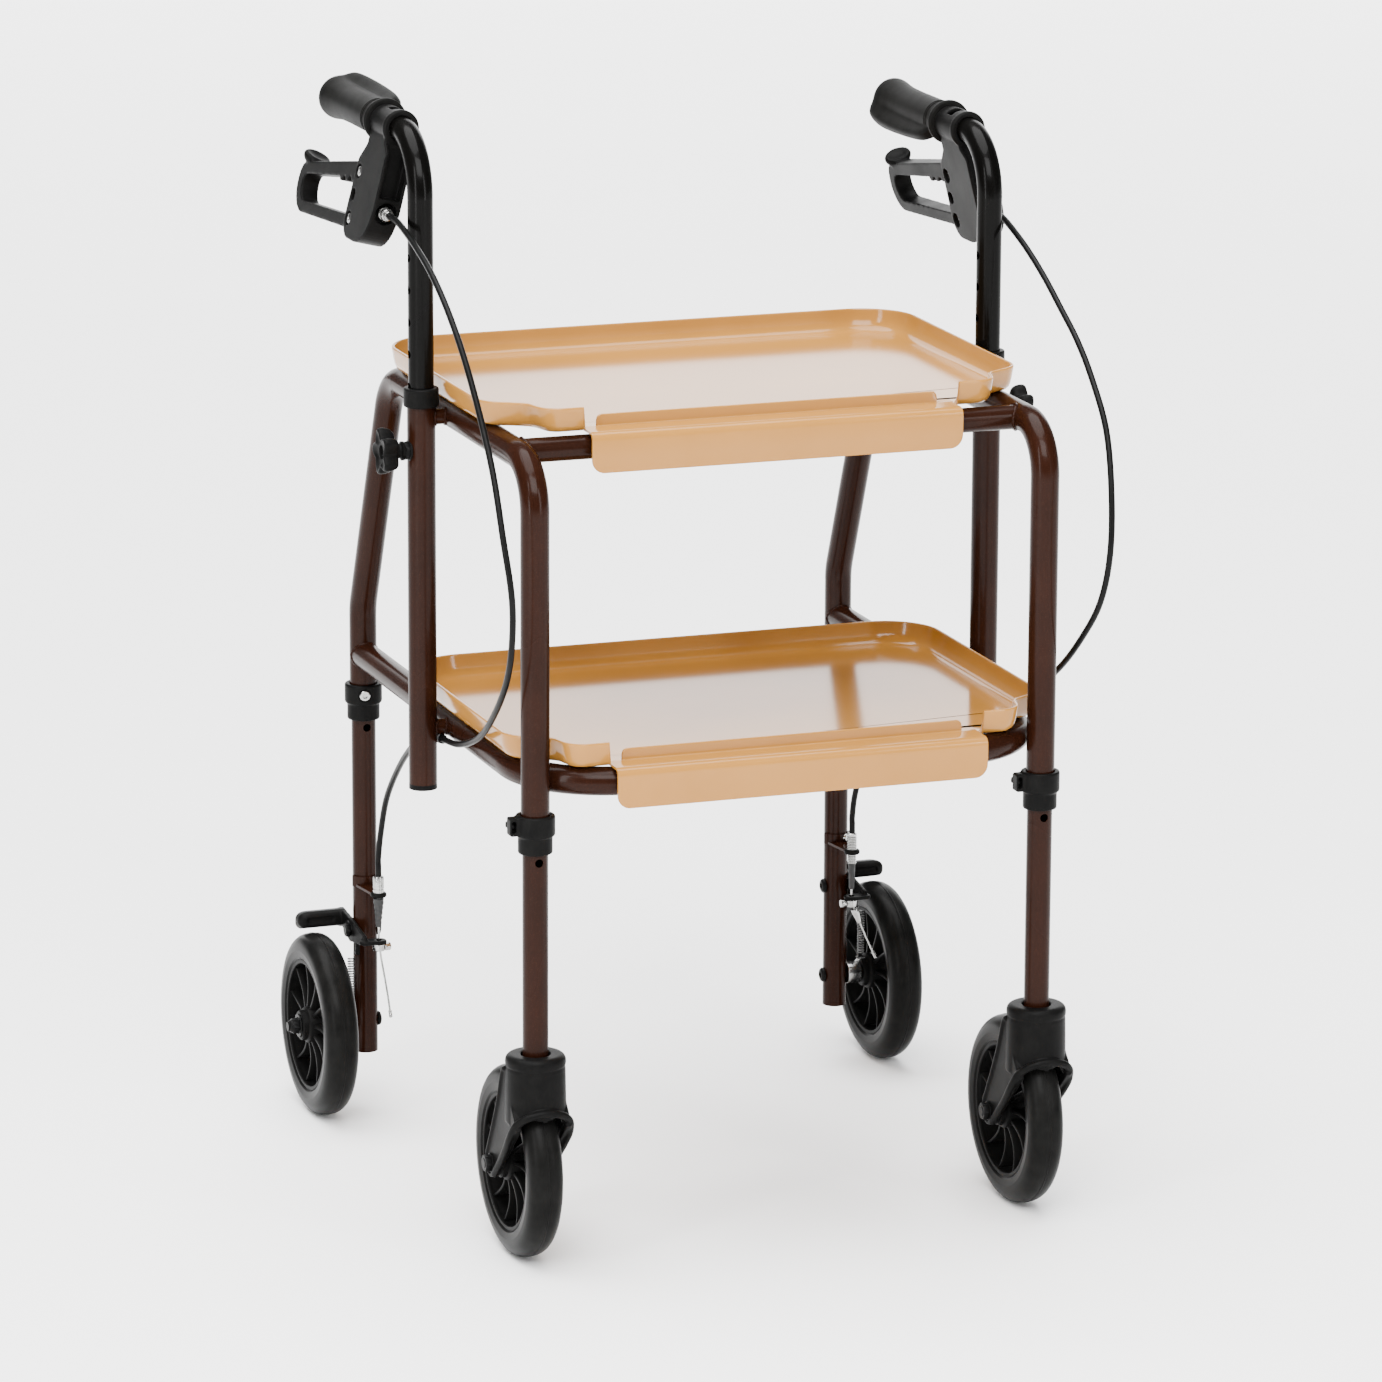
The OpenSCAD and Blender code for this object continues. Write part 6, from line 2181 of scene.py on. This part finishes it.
@dataclass(frozen=True)
class LegClamps:
    """The four two-tier clamps round the legs, with their closing screws."""

    foot: float = 344.0
    high_h: float = 16.0
    high_r: float = 15.25
    low_h: float = 14.0
    low_r: float = 13.25
    tube_r: float = 11.2
    leg_r: float = 10.15
    lug: float = 6.0
    lug_half: float = 5.0
    slot_half: float = 3.6
    screw_r: float = 4.2
    turn: float = math.radians(-102)

    @property
    def mid(self) -> float:
        """The height of the screws."""
        return self.foot + self.high_h / 2

    def sleeve(self) -> Shape:
        """One clamp's two tiers, about its leg.

        Returns:
            The shape, in millimetres.
        """
        top, low = self.foot + self.high_h, self.foot - self.low_h
        profile = [
            (self.tube_r, self.foot, 0), (self.leg_r, self.foot, 0), (self.leg_r, low, 0.4),
            (self.low_r, low, 1.0), (self.low_r, self.foot - 0.8, 0.3), (self.high_r, self.foot + 0.4, 0.9),
            (self.high_r, top, 1.2), (self.tube_r, top, 0.5),
        ]
        return revolve(rounded(profile, 4), 72, closed=True)

    def front_lug(self) -> Shape:
        """The small lug on a front clamp, with a slot in its face.

        Returns:
            The shape, in millimetres.
        """
        out, root, high = -self.high_r - self.lug, -self.tube_r - 1, self.high_h / 2 - 1
        face = rounded([(out, -high, 1), (root, -high, 0), (root, high, 0), (out, high, 1)], 4)
        ends = (-self.lug_half, self.lug_half)
        return loft([[Vector((p.x, y, self.mid + p.y)) for p in face] for y in ends])

    def slot(self) -> Shape:
        """The slot cut in the lug's face.

        Returns:
            The shape, in millimetres.
        """
        middle, half, high = -self.high_r - self.lug / 2, self.slot_half / 2, self.high_h / 2 - 3.5
        face = -self.lug_half
        return block((middle - half, face - 2, self.mid - high), (middle + half, face + 6, self.mid + high))

    def places(self) -> list[tuple[Matrix, float, bool]]:
        """Each clamp's placing, its screw's turn and whether it is a front one.

        Returns:
            The placings, turns and kinds.
        """
        places = []
        for side in Side:
            turn = self.turn if side is Side.LEFT else math.pi - self.turn
            for y in (FRONT_Y, REAR_Y):
                leg = side.at(-HALF_TRACK, y, 0) / MM
                places.append((Matrix.Translation(leg), turn, y == FRONT_Y))
        return places

    def screw(self, turn: float) -> Shape:
        """A rear clamp's socket screw, pointing out of the upper tier.

        Args:
            turn: The angle that it points to, in radians.

        Returns:
            The shape, in millimetres.
        """
        r, out = self.screw_r, self.high_r
        head = [
            (0, out - 3), (r, out - 3), (r, out + 0.2), (r - 0.5, out + 0.8), (2.1, out + 0.8),
            (2.0, out - 1.4), (0, out - 1.4),
        ]
        return revolve(head, 36).moved(aim((0, 0, self.mid), (math.cos(turn), math.sin(turn), 0)))

    def lug_screw(self) -> Shape:
        """A front clamp's screw, seen in the slot and behind the lug.

        Returns:
            The shape, in millimetres.
        """
        place = aim((-self.high_r - self.lug / 2, 0, self.mid), (0, 1, 0))
        face = self.lug_half
        return rod(1.7, -1, face + 1).add(hex_head(7, face + 0.05, face + 3)).moved(place)

    def make(self, palette: Palette) -> None:
        """Builds the clamps and both kinds of screw.

        Args:
            palette: The walker's finishes.
        """
        forms, hollows, bright, dark = Shape(), Shape(), Shape(), Shape()
        for place, turn, front in self.places():
            forms.add(self.sleeve().moved(place))
            if front:
                forms.add(self.front_lug().moved(place))
                hollows.add(self.slot().moved(place))
                dark.add(self.lug_screw().moved(place))
                continue
            seat = aim((0, 0, self.mid), (math.cos(turn), math.sin(turn), 0))
            hollows.add(rod(self.screw_r + 0.5, self.high_r - 3.2, self.high_r + 5).moved(place @ seat))
            bright.add(self.screw(turn).moved(place))
        Moulding("leg_clamps", "frame", 0.7, 3).make(forms, palette.plastic, hollows)
        settle(bright.build("clamp_screw_set", palette.zinc), "frame", "zinc", "clamp_screws")
        settle(dark.build("clamp_lug_screws", palette.dark_bolt), "frame", "zinc")


@dataclass(frozen=True)
class Studio:
    """Pale floor, soft light and the camera at the picture's angle."""

    place: tuple[float, float, float] = (-1.8282, -5.0858, 1.7257)
    ahead: tuple[float, float, float] = (0.32853, 0.91331, -0.2407)
    roll: float = math.radians(0.248)
    lens: float = 182.84
    sky_strength: float = 9.5
    room_strength: float = 0.3

    # Place, size in metres and brightness of each soft box
    LAMPS = {
        "backdrop": ((2.6, 7.2, 2.6), (9.0, 4.4), 4.2),
        "front": ((-1.2, -4.2, 4.6), (4.0, 3.0), 17.0),
        "strip_left": ((-2.4, -1.5, 1.3), (0.4, 2.2), 20.0),
        "strip_right": ((1.5, -2.9, 1.4), (0.3, 2.2), 18.0),
    }

    def camera(self) -> None:
        """Makes the scene's camera."""
        data = bpy.data.cameras.new("camera")
        data.lens = self.lens
        data.sensor_width = 36.0
        data.clip_end = 60.0
        camera = bpy.data.objects.new("camera", data)
        turn = Vector(self.ahead).to_track_quat("-Z", "Y").to_matrix().to_4x4()
        camera.matrix_world = Matrix.Translation(self.place) @ turn @ Matrix.Rotation(self.roll, 4, "Z")
        bpy.context.scene.collection.objects.link(camera)
        bpy.context.scene.camera = camera

    def floor(self) -> None:
        """Makes the pale floor."""
        recipe = Recipe("pale_floor")
        cloud = recipe.noise(3.0, 2.0)
        recipe.set(Base_Color=recipe.mix(cloud, (0.9, 0.9, 0.9), (0.93, 0.93, 0.93)), Roughness=0.75)
        half = 12000.0
        corners = ((-half, -half), (half, -half), (half, half), (-half, half))
        plane = Shape([Vector((x, y, 0)) for x, y in corners], [(0, 1, 2, 3)])
        plane.build("floor", recipe.material)

    def lamp(self, name: str, at: Point, size: tuple[float, float], glow: float) -> None:
        """Makes a soft box aimed at the middle of the walker.

        Args:
            name: The light's name.
            at: Its place in metres.
            size: Its width and height in metres.
            glow: Its brightness, in watts per square metre and steradian.
        """
        data = bpy.data.lights.new(name, "AREA")
        data.shape = "RECTANGLE"
        data.size, data.size_y = size
        data.energy = glow * math.pi * size[0] * size[1]
        lamp = bpy.data.objects.new(name, data)
        lamp.location = at
        lamp.rotation_euler = (Vector((0, 0, 0.45)) - Vector(at)).to_track_quat("-Z", "Y").to_euler()
        bpy.context.scene.collection.objects.link(lamp)

    def sky(self) -> None:
        """Makes the even light from above."""
        data = bpy.data.lights.new("sky", "SUN")
        data.energy = self.sky_strength
        data.angle = math.radians(60)
        lamp = bpy.data.objects.new("sky", data)
        lamp.rotation_euler = (math.radians(-4), math.radians(-8), 0)
        bpy.context.scene.collection.objects.link(lamp)

    def make(self) -> None:
        """Makes the floor, the lights and the camera."""
        world = bpy.data.worlds.new("white_room")
        bpy.context.scene.world = world
        world.use_nodes = True
        back = world.node_tree.nodes["Background"]
        back.inputs["Color"].default_value = (1.0, 1.0, 1.0, 1.0)
        back.inputs["Strength"].default_value = self.room_strength
        self.floor()
        self.sky()
        for name, (at, size, glow) in self.LAMPS.items():
            self.lamp(name, at, size, glow)
        self.camera()


@dataclass(frozen=True)
class Walker:
    """The whole walker: the CAD nodes that stay and the pieces that stand for the rest."""

    frame: dict
    palette: Palette

    def dress_nodes(self) -> None:
        """Gives each CAD node that stays in view its finish."""
        looks = {
            "frame_paint": self.palette.paint,
            "black_plastic": self.palette.plastic,
            "black_tube": self.palette.tube,
            "zinc": self.palette.zinc,
            "cable_black": self.palette.cable,
            "tyre": self.palette.tyre,
            "tray_tan": self.palette.tray,
        }
        for part in self.frame["record"]["subparts"]:
            node = self.frame["nodes"][part["node"]]
            node.data.materials.clear()
            node.data.materials.append(looks[part["material_slot"]])

    def make(self) -> None:
        """Dresses the nodes and builds every piece."""
        self.dress_nodes()
        Tray("upper_tray", low=641.3, shift=0.0).make(self.palette)
        Tray("lower_tray", low=395.3, shift=60.0).make(self.palette)
        Welds().make(self.palette)
        LegClamps().make(self.palette)
        for side in Side:
            BrakeCable(side).make(self.palette)
            ReturnSpring(side).make(self.palette)
            HandGrip(side).make(self.palette)
            LeverHardware(side).make(self.palette)
            CasterHardware(side).make(self.palette)
            RearHardware(side).make(self.palette)
            PinchBolt(side).make(self.palette)
            BrakeHousing(side).make(self.palette)
            BrakeLever(side).make(self.palette)
            CasterFork(side).make(self.palette)
            StarKnob(side).make(self.palette)
            BrakeArm(side).make(self.palette)
            CableStop(side).make(self.palette)
            for end in ("front", "rear"):
                Tyre(side, end).make(self.palette)
                WheelRim(side, end).make(self.palette)


def main() -> None:
    """Builds the scene."""
    logging.basicConfig(level=logging.INFO, format="%(name)s: %(message)s")
    for old in list(bpy.data.objects):
        bpy.data.objects.remove(old)
    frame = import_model()
    Studio().make()
    Walker(frame, Palette.mix_all()).make()


if __name__ == "__main__":
    main()
